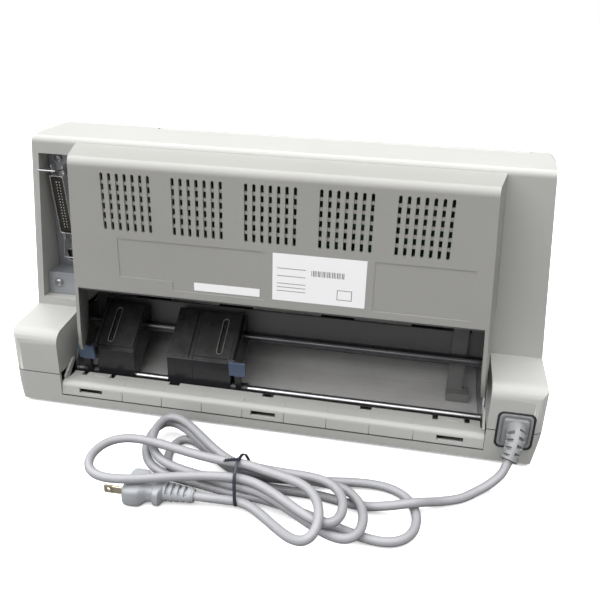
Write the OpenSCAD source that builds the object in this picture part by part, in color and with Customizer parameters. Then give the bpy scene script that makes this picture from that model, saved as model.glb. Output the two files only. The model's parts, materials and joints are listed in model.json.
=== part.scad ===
// Wide flat-bed dot matrix printer with a push tractor at the rear.
// Millimetres. The case stands on z = 0, X runs along the width, the front faces -Y.

/* [Case] */
// Width of the case at its widest
body_w = 468; // [452:1:484]
// Depth of the case
body_d = 272; // [266:1:284]
// Depth from the print line to the back of the case
rear_d = 136; // [134:0.5:138]
// Height of the case, feet included
body_h = 237; // [231:1:245]
// Wall thickness of the moulded shells
wall = 3; // [2.4:0.2:3.4]
// Height of the rubber feet
foot_h = 3; // [2:0.5:4]
// Radius of a rubber foot
foot_r = 9; // [7:0.5:11]
// Radius of the vertical corners of the case
corner_r = 10; // [8:1:12]
// Radius of the upper edges of the case
edge_r = 6; // [5:0.5:7]
// Height of the joint between lower and upper case at the end blocks
split_z = 33; // [30:1:36]
// Height of the same joint under the rear sill
sill_split_z = 12; // [11:0.5:13]
// How far the sides lean in below the joint
foot_lean = 6; // [4:1:8]
// How far the sides lean in up to the flat top
top_lean = 9; // [7:1:11]
// Depth of the flat top
flat_top = 70; // [66:1:74]
// Height of the nose where the sloping front ends
nose_z = 132; // [128:1:136]
// Distance from the front of the case to the nose
nose_in = 48; // [45:1:51]

/* [Rear end blocks and sill] */
// Height of the end blocks where they meet the upper case
block_z = 77; // [74:1:80]
// Fall of the end blocks' top towards the rear
block_fall = 4; // [3:0.5:5]
// Width of an end block
block_w = 45; // [44:0.5:46]
// Radius of the end blocks' rear upper edge
block_r = 12; // [9:1:14]
// Height of the rear sill's top
sill_z = 24.5; // [24:0.5:25.5]
// Depth of the sill's outer piece
sill_d = 12.5; // [11.5:0.5:13.5]
// Depth of the comb strip in front of the sill
strip_d = 11; // [10:0.5:12]

/* [Rear hood] */
// Depth of the hood behind the upper case
hood_d = 50; // [48:1:52]
// Height of the hood's top
hood_top = 233; // [230:0.5:234]
// Height of the hood's lower edge, the top of the paper opening
hood_low = 121.5; // [119:0.5:124]
// Distance from the case's side to the hood's rear face on the connector side, at its top
hood_in_left = 75; // [73:0.5:77]
// The same distance on the power side
hood_in_right = 61.5; // [60:0.5:63]
// Width of one vent slot
vent_w = 2.6; // [2:0.1:3]
// Height of a vent column
vent_h = 47; // [44:1:50]
// Number of vent groups
vent_groups = 5; // [4:1:5]
// Vent columns in a group
vent_columns = 7; // [5:1:7]

/* [Front] */
// Thickness of the printer cover
cover_t = 2.6; // [2.2:0.2:3]
// Running gap around the cover and other moving pieces
run_gap = 0.8; // [0.6:0.1:1.2]
// Height of the paper table's top
table_z = 78; // [76:1:80]
// Thickness of the paper table
table_t = 3; // [2.5:0.5:3.5]
// Height of the front paper slot above the table
slot_h = 16; // [14:1:18]
// Travel of a panel button
button_travel = 1.2; // [0.8:0.1:1.5]

/* [Mechanism] */
// Thickness of the steel side frames
frame_t = 1.6; // [1.2:0.2:2]
// Diameter of the carriage shaft
shaft_d = 12; // [10:0.5:12]
// Diameter of the feed rollers
roller_d = 20; // [18:0.5:20]
// Distance of the feed rollers from the print line
roller_pitch = 40; // [38:0.5:42]
// Teeth on each feed gear
gear_teeth = 24; // [24:4:24]
// Width of the carriage
carriage_w = 64; // [58:1:70]
// Diameter of the tractors' guide rod
rod_d = 6; // [5:0.5:6.5]
// Side of the tractors' square drive shaft
square_s = 7; // [6:0.5:7.5]
// Width of a tractor
tractor_w = 40; // [38:1:42]
// Radial running clearance of shafts in their bores
bore_gap = 0.1; // [0.05:0.05:0.1]
// Gap left under a piece that rests on another
seat_gap = 0.3; // [0.2:0.1:0.4]

/* [Hidden] */

$fn = 48;
eps = 0.01;

// Case levels and planes
half_w = body_w / 2;
y_back = rear_d;
y_front = rear_d - body_d;
block_in = half_w - block_w;
hood_left = half_w - hood_in_left;
hood_right = half_w - hood_in_right;
y_wall = y_back - hood_d;
y_crest = y_wall - flat_top;
y_nose = y_front + nose_in;
waist_z = split_z + 31;
shoulder_w = half_w - 2;
floor_z = foot_h + wall;
slope_a = atan2(body_h - nose_z, y_crest - y_nose);
slope_len = norm([body_h - nose_z, y_crest - y_nose]);
// Rear taper of the upper case: how much narrower it is at its rear top edge
taper_w = 7.5;
taper_y = taper_w / flat_top;
taper_z = (shoulder_w - (half_w - top_lean - taper_w)) / (body_h - block_z);

// Front pieces
lip_z = table_z + slot_h + 6;
table_w = half_w - 29;
cover_x0 = -table_w + 1;
cover_x1 = table_w - 79;
panel_x0 = cover_x1 + 10;
panel_x1 = table_w - 1;
hinge_r = 3.5;
hinge_y = y_crest + 4;
hinge_z = body_h - hinge_r;

function unit(v) = v / norm(v);
function outward(a, b) = let (d = unit(b - a)) [d[1], -d[0]];
// A counter-clockwise outline drawn in by t on every edge
function shrink(p, t) = let (n = len(p)) [
  for (i = [0 : n - 1])
    let (n1 = outward(p[(i + n - 1) % n], p[i]), n2 = outward(p[i], p[(i + 1) % n]))
      p[i] - t * (n1 + n2) / (1 + n1 * n2)
];
// The same outline with everything below level moved down to low, which leaves a shell open below
function open_below(p, level, low) = [for (q = p) q[1] < level ? [q[0], low] : q];
function arc(cx, cy, r, a0, a1, n = 5) = [
  for (i = [0 : n]) let (a = a0 + (a1 - a0) * i / n) [cx + r * cos(a), cy + r * sin(a)]
];
function mirrored(p) = concat(p, [for (i = [len(p) - 1 : -1 : 0]) [-p[i][0], p[i][1]]]);

// An outline in Y and Z extruded from x0 to x1
module along_x(x0, x1) {
  translate([x0, 0, 0]) rotate([90, 0, 90]) linear_extrude(x1 - x0) children();
}
// An outline in X and Z extruded from y0 to y1
module along_y(y0, y1) {
  translate([0, y1, 0]) rotate([90, 0, 0]) linear_extrude(y1 - y0) children();
}
module block(x0, x1, y0, y1, z0, z1) {
  translate([x0, y0, z0]) cube([x1 - x0, y1 - y0, z1 - z0]);
}
module rod_x(x0, x1, y, z, r) {
  translate([x0, y, z]) rotate([0, 90, 0]) cylinder(h = x1 - x0, r = r);
}
module rounded(w, d, r) {
  square([w - 2 * r, d], center = true);
  square([w, d - 2 * r], center = true);
  for (sx = [-1, 1], sy = [-1, 1])
    translate([sx * (w / 2 - r), sy * (d / 2 - r)]) circle(r);
}
// Removes what lies past x = x0 + ky * (y - y0) + kz * (z - z0), on the +X side
module side_trim(x0, y0, z0, ky, kz) {
  n = norm([1, ky, kz]);
  translate([x0, y0, z0]) rotate([0, asin(kz / n), atan(-ky)])
    translate([0, -500, -500]) cube([300, 1000, 1000]);
}
// Frame of the sloping front: +Y runs up the slope, +Z points out of it
module on_slope() {
  translate([0, y_crest, body_h]) rotate([slope_a, 0, 0]) children();
}

// ---- Case outlines
function face_outline() = mirrored(concat(
  [[half_w - foot_lean, foot_h], [half_w, split_z], [half_w, waist_z], [shoulder_w, block_z]],
  arc(half_w - top_lean - edge_r, body_h - edge_r, edge_r, 0, 90)));
function upper_outline() = concat(
  [[y_front, split_z], [y_wall, split_z]],
  arc(y_wall - edge_r, body_h - edge_r, edge_r, 0, 90),
  [[y_crest, body_h], [y_nose, nose_z], [y_nose - 6, lip_z], [y_front + 8, table_z + 3], [y_front, table_z - 7]]);
function block_outline() = concat(
  [[y_wall - 2 * wall, split_z], [y_back, split_z]],
  arc(y_back - block_r, block_z - block_fall - block_r, block_r, 0, 90),
  [[y_wall, block_z], [y_wall - 2 * wall, block_z]]);
module plan(t) {
  translate([0, (y_front + y_back) / 2]) rounded(body_w - 2 * t, body_d - 2 * t, corner_r - t);
}
module taper_trims(t) {
  for (m = [0, 1])
    mirror([m, 0, 0])
      side_trim(half_w - top_lean - taper_w - t, y_wall, body_h, -taper_y, -taper_z);
}
module upper_form(t) {
  difference() {
    intersection() {
      along_x(-300, 300) polygon(open_below(shrink(upper_outline(), t), split_z + t + eps, split_z - (t > 0 ? 1 : 0)));
      along_y(-200, 200) polygon(shrink(face_outline(), t));
    }
    taper_trims(t);
  }
}
module block_form(t) {
  for (m = [0, 1])
    mirror([m, 0, 0])
      intersection() {
        along_x(block_in + t, 300)
          polygon(open_below(shrink(block_outline(), t), split_z + t + eps, split_z - (t > 0 ? 1 : 0)));
        along_y(-200, 200) polygon(shrink(face_outline(), t));
        linear_extrude(300) plan(t);
      }
}
// Half width of the hood's outside at a point; side is 1 on the connector side and -1 on the power side
hood_flare = [0.356, 0.173];
hood_drop = [0.048, 0.061];
function hood_x(side, y, z) = let (i = side > 0 ? 0 : 1)
  (side > 0 ? hood_left : hood_right) + (y_back - y) * hood_flare[i] + (hood_top - z) * hood_drop[i];
module hood_trims(t) {
  side_trim(hood_x(1, y_back, hood_top) - t, y_back, hood_top, -hood_flare[0], -hood_drop[0]);
  mirror([1, 0, 0])
    side_trim(hood_x(-1, y_back, hood_top) - t, y_back, hood_top, -hood_flare[1], -hood_drop[1]);
}

// ---- Inlet and interface places
inlet_x = -(half_w - block_w / 2);
inlet_z = split_z + 1;
inlet_w = 30;
inlet_h = 34;
recess_top = body_h - 15;
recess_low = block_z + 8;
recess_d = 36;
function recess_in(z) = hood_x(1, y_wall, z) + 0.5;
function recess_edge(z) = half_w - top_lean - taper_w + (body_h - z) * taper_z - 6;
module recess_outline(t) {
  polygon([[recess_in(recess_low) + t, recess_low + t], [recess_edge(recess_low) - t, recess_low + t],
    [recess_edge(recess_top) - t, recess_top - t], [recess_in(recess_top) + t, recess_top - t]]);
}
module inlet_hole(gap) {
  translate([inlet_x, 0, inlet_z]) rotate([90, 0, 0])
    linear_extrude(400, center = true) rounded(inlet_w + 2 * gap, inlet_h + 2 * gap, 5 + gap);
}

seam_w = 0.8;
module lower_case() {
  color([0.80, 0.80, 0.78]) difference() {
    intersection() {
      translate([0, 0, foot_h]) linear_extrude(split_z - foot_h) plan(0);
      along_y(-200, 200) polygon(face_outline());
    }
    intersection() {
      translate([0, 0, floor_z]) linear_extrude(split_z) plan(wall);
      along_y(-200, 200) polygon(shrink(face_outline(), wall));
    }
    block(-block_in - 0.1, block_in + 0.1, y_back - 2 * corner_r, y_back + 1, sill_split_z, split_z + 1);
    // A fine groove along the seam under the upper case and the sill
    translate([0, 0, split_z - seam_w]) difference() {
      linear_extrude(1) plan(-1);
      translate([0, 0, -1]) linear_extrude(3) plan(seam_w);
    }
    block(-block_in - 0.1, block_in + 0.1, y_back - seam_w, y_back + 1, sill_split_z - seam_w, split_z);
    translate([0, y_back - 15, 0]) intersection() {
      inlet_hole(0.3);
      block(-300, 0, -10, 30, 0, 100);
    }
    for (sx = [-1, 1], y = foot_y)
      translate([sx * foot_x, y, foot_h - 1]) cylinder(h = 2, r = foot_r + 0.2);
  }
  // Ribs that carry the paper floor
  color([0.80, 0.80, 0.78])
    for (x = [-120, 0, 120])
      along_x(x - 1.5, x + 1.5)
        polygon([[floor_y1 - 30, floor_z], [floor_y1 - 2, floor_z], [floor_y1 - 2, floor_rear_z - seat_gap],
          [floor_y1 - 30, floor_rear_z - seat_gap - 30 * floor_fall]]);
}
foot_x = half_w - 44;
foot_y = [y_front + 31, y_back - 31];

module rubber_feet() {
  color([0.12, 0.12, 0.12])
    for (sx = [-1, 1], y = foot_y)
      translate([sx * foot_x, y, 0]) {
        cylinder(h = foot_h, r = foot_r - 0.6);
        translate([0, 0, 0.8]) cylinder(h = foot_h - 0.8, r = foot_r);
      }
}

module upper_case() {
  color([0.82, 0.82, 0.80]) difference() {
    union() {
      difference() {
        upper_form(0);
        upper_form(wall);
      }
      difference() {
        block_form(0);
        block_form(wall);
      }
      // Inner walls of the front cheeks
      intersection() {
        upper_form(0);
        for (m = [0, 1])
          mirror([m, 0, 0])
            block(table_w, table_w + 2, y_front, y_nose + 16, table_z - 10, lip_z + 4);
      }
      // Walls of the interface recess
      difference() {
        along_y(y_wall - recess_d, y_wall - wall) recess_outline(-2);
        along_y(y_wall - recess_d - 1, y_wall) recess_outline(0);
      }
      // Ears for the cover's pins
      for (x = [cover_x0 - run_gap - ear_t, cover_x1 + run_gap])
        block(x, x + ear_t, hinge_y - 5, hinge_y + 5, hinge_z - 5, body_h - wall + eps);
      // Pocket behind the power rocker
      difference() {
        block(switch_x - 9, switch_x + 9, y_front + 1, y_front + 16, switch_z - 13, switch_z + 13);
        block(switch_x - 7, switch_x + 7, y_front, y_front + 14, switch_z - 11, switch_z + 11);
      }
      // Posts that carry the release lever's pin
      for (x = [lever_x - 5, lever_x + 2.5])
        block(x, x + 2.5, lever_y - 5, lever_y + 5, lever_z - 5, lever_z + 34);
    }
    // The lever posts stop under the slope
    on_slope() block(-300, 300, -slope_len, 0, 0, 80);
    // Paper opening and the way into the hood
    block(-block_in, block_in, y_wall - 2 * wall - 1, y_wall + 1, split_z - 2, frame_rear_z + 1.5);
    hood_way();
    // Interface recess
    along_y(y_wall - recess_d - 1, y_wall + 1) recess_outline(0);
    // Front paper slot
    block(-table_w, table_w, y_front - 1, y_nose + 20, table_z - table_t, table_z + slot_h);
    // Printer cover opening
    along_x(cover_x0 - run_gap, cover_x1 + run_gap)
      polygon([[y_nose - 20, lip_z], [y_nose + 12, lip_z], [y_nose + 12, nose_z - 4],
        [y_crest - 4, body_h - 16], [hinge_y + hinge_r + run_gap, body_h - 16],
        [hinge_y + hinge_r + run_gap, body_h + 5], [y_crest - 8, body_h + 5], [y_nose - 20, nose_z + 5]]);
    for (x = [cover_x0 - run_gap - ear_t - 1, cover_x1 + run_gap - 1])
      rod_x(x, x + ear_t + 2, hinge_y, hinge_z, pin_r + bore_gap);
    // Control panel, release lever and power rocker openings
    on_slope() {
      block(panel_x0 - 0.2, panel_x1 + 0.2, -slope_len + 14, -16, -wall - 4, 5);
      block(lever_x - 2.5, lever_x + 2.5, -lever_slot_y - 22, -lever_slot_y + 22, -wall - 4, 5);
    }
    rod_x(lever_x - 6, lever_x + 6, lever_y, lever_z, pin_r + bore_gap);
    block(switch_x - 7, switch_x + 7, y_front - 1, y_front + wall + 1, switch_z - 11, switch_z + 11);
    rod_x(switch_x - 8, switch_x + 8, y_front + 5, switch_z, 1.5 + bore_gap);
    // Inlet
    translate([0, y_back - 15, 0]) intersection() {
      inlet_hole(0.3);
      block(-300, 0, -10, 30, 0, 100);
    }
  }
}
ear_t = 5;
pin_r = 2;
switch_x = -(table_w + 14);
switch_z = split_z + 19;
lever_x = table_w + 9;
lever_slot_y = slope_len * 0.42;
lever_y = y_crest - lever_slot_y * cos(slope_a) + 24 * sin(slope_a);
lever_z = body_h - lever_slot_y * sin(slope_a) - 24 * cos(slope_a);

// The space inside the hood, as seen through the upper case's rear wall
module hood_way() {
  difference() {
    block(-300, 300, y_wall - 2 * wall - 1, y_wall + 1, frame_rear_z, hood_top - wall);
    hood_trims(wall);
  }
}

function hood_outline(t, y0, z0) = concat(
  [[y0, z0], [y_back - t, z0]],
  arc(y_back - edge_r - 1, hood_top - edge_r - 1, edge_r + 1 - t, 0, 90),
  [[y0, hood_top - t]]);
leg_limit = block_in - 2.7;
leg_z = hood_low - 66;
function leg_outline() = [[y_wall, leg_z], [y_back - 10, leg_z], [y_back - 3, leg_z + 10], [y_back, leg_z + 24],
  [y_back, hood_low + 1], [y_wall, hood_low + 1]];

module rear_hood() {
  color([0.78, 0.78, 0.76]) difference() {
    union() {
      difference() {
        along_x(-300, 300) polygon(hood_outline(0, y_wall, hood_low));
        hood_trims(0);
      }
      difference() {
        along_x(-leg_limit, leg_limit) polygon(leg_outline());
        hood_trims(0);
      }
    }
    difference() {
      union() {
        along_x(-leg_limit + wall, leg_limit - wall) polygon(hood_outline(wall, y_wall - 1, sill_z - 1));
        block(-leg_limit + wall, leg_limit - wall, y_wall - 1, y_back + 1, sill_z - 1, hood_low);
      }
      hood_trims(wall);
    }
    // Vents
    for (g = [0 : vent_groups - 1], c = [0 : vent_columns - 1])
      translate([vent_x0 - g * group_pitch - c * column_pitch, y_back + 1, vent_z]) rotate([90, 0, 0])
        linear_extrude(wall + 2) {
          square([vent_w, vent_h - vent_w], center = true);
          for (s = [-1, 1]) translate([0, s * (vent_h - vent_w) / 2]) circle(vent_w / 2);
        }
    // Shallow label recesses
    along_y(y_back - recess_t, y_back + 1) {
      polygon([[label_x, hood_low + 14], [label_x, hood_low + 47.5], [-0.3, hood_low + 47.5], [-0.3, hood_low + 6],
        [76.6, hood_low + 6], [76.6, hood_low + 14]]);
      polygon([[-88, hood_low + 6], [-88, hood_low + 47.5], [8.5 - hood_right, hood_low + 47.5],
        [7.5 - hood_right, hood_low + 6]]);
    }
  }
  // Recessed bars across the vents
  color([0.78, 0.78, 0.76])
    for (g = [0 : vent_groups - 1], k = [1 : vent_rows - 1])
      block(vent_x0 - g * group_pitch - (vent_columns - 1) * column_pitch - vent_w, vent_x0 - g * group_pitch + vent_w,
        y_back - wall, y_back - 1.2,
        vent_z - vent_h / 2 + k * vent_h / vent_rows - 1.3, vent_z - vent_h / 2 + k * vent_h / vent_rows + 1.3);
}
vent_x0 = 131.5;
group_pitch = 58.6;
column_pitch = 6.43;
vent_rows = 6;
vent_z = hood_top - 34;
recess_t = 0.5;
label_x = hood_left - 36.6;

module rear_sill() {
  color([0.83, 0.83, 0.81]) difference() {
    union() {
      along_x(-block_in + 0.2, block_in - 0.2) polygon(concat(
        [[y_back - 0.5, sill_split_z + 0.2], [y_back - 1.5, sill_z - 5]],
        arc(y_back - 6.5, sill_z - 5, 5, 10, 90, 4),
        [[y_back - sill_d, sill_z], [y_back - sill_d, sill_z - 2.5], [y_back - 6, sill_z - 2.5],
          [y_back - 4.4, sill_z - 6], [y_back - 3.4, sill_split_z + 0.2]]));
      // End strips beside the end blocks
      for (m = [0, 1])
        mirror([m, 0, 0])
          along_x(block_in - 2.2, block_in - 0.2)
            polygon([[y_back - sill_d, sill_z - 1], [y_back - sill_d + 6, sill_z - 1],
              [y_back - sill_d + 6, sill_z + 3], [y_back - sill_d - 10, sill_z + 13],
              [y_back - sill_d - 13, sill_z + 13], [y_back - sill_d - 13, sill_z + 10]]);
    }
    // Fine seams and the three slots
    for (i = [-3.5 : 1 : 3.5])
      block(i * sill_seam - 0.3, i * sill_seam + 0.3, y_back - 2, y_back + 1, sill_split_z, sill_z - 3);
    for (i = [-3.5 : 1 : 3.5])
      block(i * sill_seam - 0.3, i * sill_seam + 0.3, y_back - sill_d - 1, y_back + 1, sill_z - 0.4, sill_z + 1);
    for (x = [-slot_x, 0, slot_x])
      block(x - 11, x + 11, y_back - 8, y_back + 2, sill_z - 9.5, sill_z - 5);
  }
}
sill_seam = 37.3;
slot_x = block_in - 28;

module comb_strip() {
  y1 = y_back - sill_d - 0.3;
  y0 = y1 - strip_d;
  color([0.83, 0.83, 0.81]) difference() {
    along_x(-block_in + 3, block_in - 3)
      polygon([[y1, sill_z - 0.2], [y0, sill_z - 0.2], [y0, floor_z + seat_gap], [y0 + 2, floor_z + seat_gap],
        [y0 + 2, sill_z - 2.4], [y1, sill_z - 2.4]]);
    for (x = [-88, 0, 88])
      block(x - 5, x + 5, y0 - 1, y0 + 4.5, sill_z - 9, sill_z + 1);
    for (s = [-1, 1], x = [slot_x - 13, slot_x + 14])
      block(s * x - 2.3, s * x + 2.3, y0 - 1, y0 + 6, sill_z - 9, sill_z + 1);
    for (x = [-slot_x, slot_x])
      block(x - 6, x + 6, y0 + 5, y0 + 5.8, sill_z - 0.7, sill_z + 1);
  }
}

function cover_outer() = [[y_nose - 6, lip_z + seat_gap], [y_nose, nose_z], [y_crest, body_h], [hinge_y, body_h]];
module printer_cover() {
  inner = [[hinge_y, body_h - cover_t], [y_crest + cover_t * tan(slope_a / 2), body_h - cover_t],
    [y_nose + cover_t * 0.75, nose_z - cover_t * 0.42], [y_nose - 6 + cover_t, lip_z + seat_gap]];
  color([0.84, 0.84, 0.82]) difference() {
    union() {
      along_x(cover_x0, cover_x1) {
        polygon(concat(inner, cover_outer()));
        translate([hinge_y, hinge_z]) circle(hinge_r);
      }
      // End skirts
      for (x = [cover_x0, cover_x1 - 2])
        along_x(x, x + 2)
          polygon([[y_nose - 6 + 1, lip_z + seat_gap], [y_nose + 3, lip_z + seat_gap], [y_nose + 5, nose_z - 4],
            [y_crest - 2, body_h - 9], [y_crest + 2, body_h - 1], [y_crest, body_h - 1], [y_nose + 1, nose_z]]);
      rod_x(cover_x0 - run_gap - ear_t + 1, cover_x1 + run_gap + ear_t - 1, hinge_y, hinge_z, pin_r);
    }
    on_slope() block(window_x0, window_x1, -slope_len + 24, -20, -10, 5);
  }
}
window_x0 = cover_x0 + 16;
window_x1 = cover_x1 - 16;
module cover_window() {
  color([0.25, 0.25, 0.27, 0.5]) on_slope() {
    block(window_x0 + 0.1, window_x1 - 0.1, -slope_len + 24.1, -20.1, -cover_t, -0.2);
    block(window_x0 - 4, window_x1 + 4, -slope_len + 20, -16, -cover_t - 1.2, -cover_t);
  }
}

table_rear = -roller_pitch - roller_d / 2 - 4;
module paper_table() {
  color([0.80, 0.80, 0.78]) difference() {
    union() {
      along_x(-table_w + 0.3, table_w - 0.3)
        polygon([[y_front + 1, table_z - table_t], [table_rear, table_z - table_t],
          [table_rear, table_z], [y_front + 5, table_z], [y_front + 1, table_z - 1.5]]);
      for (i = [-4 : 4])
        block(i * 40 - 0.6, i * 40 + 0.6, y_front + 14, table_rear - 4, table_z - eps, table_z + 0.4);
    }
    // Track of the edge guide and room for the front feed gear
    block(-table_w + 14, table_w - 60, guide_y - 3, guide_y + 3, table_z - table_t - 1, table_z + 1);
    block(gear_x0 - 1, gear_x1 + 1, -roller_pitch - gear_r - 3, table_rear + 1, table_z - table_t - 1, table_z + 1);
  }
}
guide_y = y_front + 26;
guide_x = -table_w + 44;
module edge_guide() {
  color([0.30, 0.31, 0.33]) {
    block(guide_x - 20, guide_x + 14, guide_y - 12, guide_y + 12, table_z + 0.6, table_z + 3);
    along_x(guide_x - 20, guide_x - 17)
      polygon([[guide_y - 14, table_z + 0.6], [guide_y + 20, table_z + 0.6], [guide_y + 16, table_z + 11],
        [guide_y - 10, table_z + 11]]);
    // Foot that runs in the track
    block(guide_x - 12, guide_x + 6, guide_y - 2.6, guide_y + 2.6, table_z - table_t - 1, table_z + 1);
    block(guide_x - 12, guide_x + 6, guide_y - 5, guide_y + 5, table_z - table_t - 2, table_z - table_t - seat_gap);
  }
}

panel_y1 = -16.2;
panel_y0 = -slope_len + 14.2;
button_y = [for (i = [0 : 2]) panel_y1 - 24 - 28 * i];
button_x = panel_x0 + 28;
lamp_x = panel_x0 + 52;
module control_panel() {
  color([0.70, 0.71, 0.70]) on_slope() difference() {
    union() {
      block(panel_x0, panel_x1, panel_y0, panel_y1, -wall, 0.3);
      // Lip behind the case skin
      block(panel_x0 - 2, panel_x1 + 1.5, panel_y0 - 3, panel_y1 + 3, -wall - 2.4, -wall - 0.2);
      block(panel_x0 + 1, panel_x1 - 1, panel_y0 + 1, panel_y1 - 1, -wall - 0.5, -wall + 0.5);
    }
    for (y = button_y) {
      block(button_x - 11.4, button_x + 11.4, y - 6.4, y + 6.4, -20, 5);
      translate([lamp_x, y, -0.5]) cylinder(h = 3, r = 2.1);
    }
  }
}
module button(i) {
  color([0.55, 0.57, 0.58]) on_slope() {
    block(button_x - 11, button_x + 11, button_y[i] - 6, button_y[i] + 6, -wall - 4, 0.3 + button_travel + 0.8);
    // Flange that keeps the button behind the panel
    block(button_x - 13, button_x + 13, button_y[i] - 8, button_y[i] + 8, -wall - 4.2, -wall - 2.4 - seat_gap);
  }
}
module pause_button() { button(0); }
module feed_button() { button(1); }
module load_button() { button(2); }

module power_rocker() {
  color([0.12, 0.12, 0.12]) {
    along_x(switch_x - 6.5, switch_x + 6.5)
      polygon([[y_front + 9, switch_z - 7], [y_front + 9, switch_z + 7], [y_front + 1, switch_z + 10],
        [y_front - 0.5, switch_z], [y_front + 3, switch_z - 10]]);
    rod_x(switch_x - 7.8, switch_x + 7.8, y_front + 5, switch_z, 1.5);
  }
}
module release_lever() {
  color([0.30, 0.38, 0.50]) translate([lever_x, lever_y, lever_z]) {
    rod_x(-5, 5, 0, 0, pin_r);
    rotate([slope_a, 0, 0]) {
      rod_x(-1.6, 1.6, 0, 0, 5);
      block(-1.6, 1.6, -3, 3, 0, 38);
      block(-4, 4, -5, 5, 31.5, 41);
    }
  }
}

// ---- Mechanism
frame_x = block_in - 2.4;
frame_rear_z = block_z - 3.5;
base_t = 1.2;
path_z = table_z;
roller_r = roller_d / 2;
roller_x = frame_x - 36.6;
roller_w = 30;
journal_r = 4;
feed_z = path_z - roller_r;
pinch_z = path_z + seat_gap + roller_r;
pin_step = 2.5;

// Gear train outside the right frame
gear_r = roller_pitch / 2;
pinion_r = gear_r / 2;
gear_w = 6;
gear_x1 = -frame_x - frame_t - 1.8;
gear_x0 = gear_x1 - gear_w;
gear_turn = 360 / gear_teeth;
tooth = PI * gear_r / gear_teeth;
mesh_a = 21;
square_y = roller_pitch + (gear_r + pinion_r) * cos(mesh_a);
square_z = feed_z - (gear_r + pinion_r) * sin(mesh_a);
square_r = square_s / 2 * sqrt(2);
pinion_y = -roller_pitch;
pinion_z = feed_z - gear_r - pinion_r;
feed_motor_r = 19;
feed_motor_h = 36;

shaft_r = shaft_d / 2;
shaft_y = 28;
shaft_z = path_z + 36;
rail_y = -42;
rail_w = 10;
rail_t = 3;
rail_z = shaft_z - 4;

// Rear paper path
rod_y = y_back - sill_d - strip_d - 10.5;
rod_z = sill_z - rod_d / 2 - 0.2;
floor_y1 = rod_y - rod_d / 2 - 1.5;
floor_y2 = floor_y1 - 49;
floor_y3 = floor_y2 - 26;
floor_fall = 0.05;
floor_rear_z = rod_z - rod_d / 2 - 3.2;
floor_crease_z = floor_rear_z - (floor_y1 - floor_y2) * floor_fall;
floor_front_z = floor_crease_z + 13;
floor_t = 1.2;
wall_y = y_wall - 30;
wall_z = square_z - 10;
roof_z = hood_low - 3;
roof_t = 2;
roof_w = leg_limit - wall - seat_gap;

module base_frame() {
  color([0.62, 0.63, 0.65]) difference() {
    block(-frame_x - 6, frame_x + 6, y_front + 40, floor_y3 - 6, floor_z, floor_z + base_t);
    for (x = [-120 : 60 : 120])
      translate([x, -20, floor_z - 1]) cylinder(h = base_t + 2, r = 9);
  }
}

module frame_plate(x0) {
  top_z = shaft_z + 16;
  seat_z = table_z - table_t - seat_gap;
  difference() {
    along_x(x0, x0 + frame_t)
      polygon([[-86, floor_z + base_t], [rod_y + 6, floor_z + base_t], [rod_y + 6, rod_z + 8],
        [square_y + 20, frame_rear_z - 4], [square_y + 12, frame_rear_z], [wall_y - 6, frame_rear_z],
        [wall_y - 10, top_z], [rail_y - 8, top_z], [table_rear + 2, top_z - 20], [table_rear + 2, seat_z],
        [-86, seat_z]]);
    for (y = [-roller_pitch, roller_pitch], z = [feed_z, pinch_z])
      rod_x(x0 - 1, x0 + 3, y, z, journal_r + bore_gap);
    rod_x(x0 - 1, x0 + 3, 0, feed_z, journal_r);
    rod_x(x0 - 1, x0 + 3, shaft_y, shaft_z, shaft_r);
    rod_x(x0 - 1, x0 + 3, rod_y, rod_z, rod_d / 2);
    rod_x(x0 - 1, x0 + 3, square_y, square_z, journal_r + bore_gap);
    block(x0 - 1, x0 + 3, rail_y, rail_y + rail_w, rail_z, rail_z + rail_t);
  }
}
module side_frame_left() {
  color([0.60, 0.61, 0.63]) frame_plate(frame_x);
}
module side_frame_right() {
  color([0.60, 0.61, 0.63]) difference() {
    frame_plate(-frame_x - frame_t);
    rod_x(-frame_x - frame_t - 1, -frame_x + 1, pinion_y, pinion_z, pin_step + bore_gap);
  }
}
module carriage_shaft() {
  color([0.80, 0.80, 0.82]) rod_x(-frame_x - frame_t, frame_x + frame_t, shaft_y, shaft_z, shaft_r);
}
module guide_rail() {
  color([0.70, 0.71, 0.73])
    block(-frame_x - frame_t, frame_x + frame_t, rail_y, rail_y + rail_w, rail_z, rail_z + rail_t);
}

// Carriage drive: a belt in a level plane between the carriage and the baffle
belt_h = 6;
belt_z = shaft_z - 7;
belt_r = 4.5;
belt_t = 1;
pulley_x = frame_x - 26.6;
pulley_y = wall_y - 2 - belt_r - belt_t - 2;
carriage_y1 = shaft_y + 11;
module carriage() {
  clamp_y = pulley_y - belt_r - belt_t;
  color([0.20, 0.20, 0.22]) difference() {
    union() {
      block(-carriage_w / 2, carriage_w / 2, -22, carriage_y1, shaft_z - 12, shaft_z + 12);
      block(-carriage_w / 2 + 8, carriage_w / 2 - 8, rail_y + 2, -21, rail_z + rail_t + seat_gap, shaft_z + 8);
      block(-12, 12, carriage_y1 - 1, clamp_y + 4, belt_z - belt_h / 2 - 2, belt_z + belt_h / 2 + 2);
    }
    rod_x(-carriage_w, carriage_w, shaft_y, shaft_z, shaft_r + bore_gap);
    // Well for the print head and slot for the belt
    block(-head_w / 2 - 0.2, head_w / 2 + 0.2, -14, 10, shaft_z - 13, shaft_z + 13);
    block(-13, 13, clamp_y - seat_gap, clamp_y + belt_t + seat_gap,
      belt_z - belt_h / 2 - seat_gap, belt_z + belt_h / 2 + seat_gap);
  }
}
head_w = 33.6;
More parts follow.
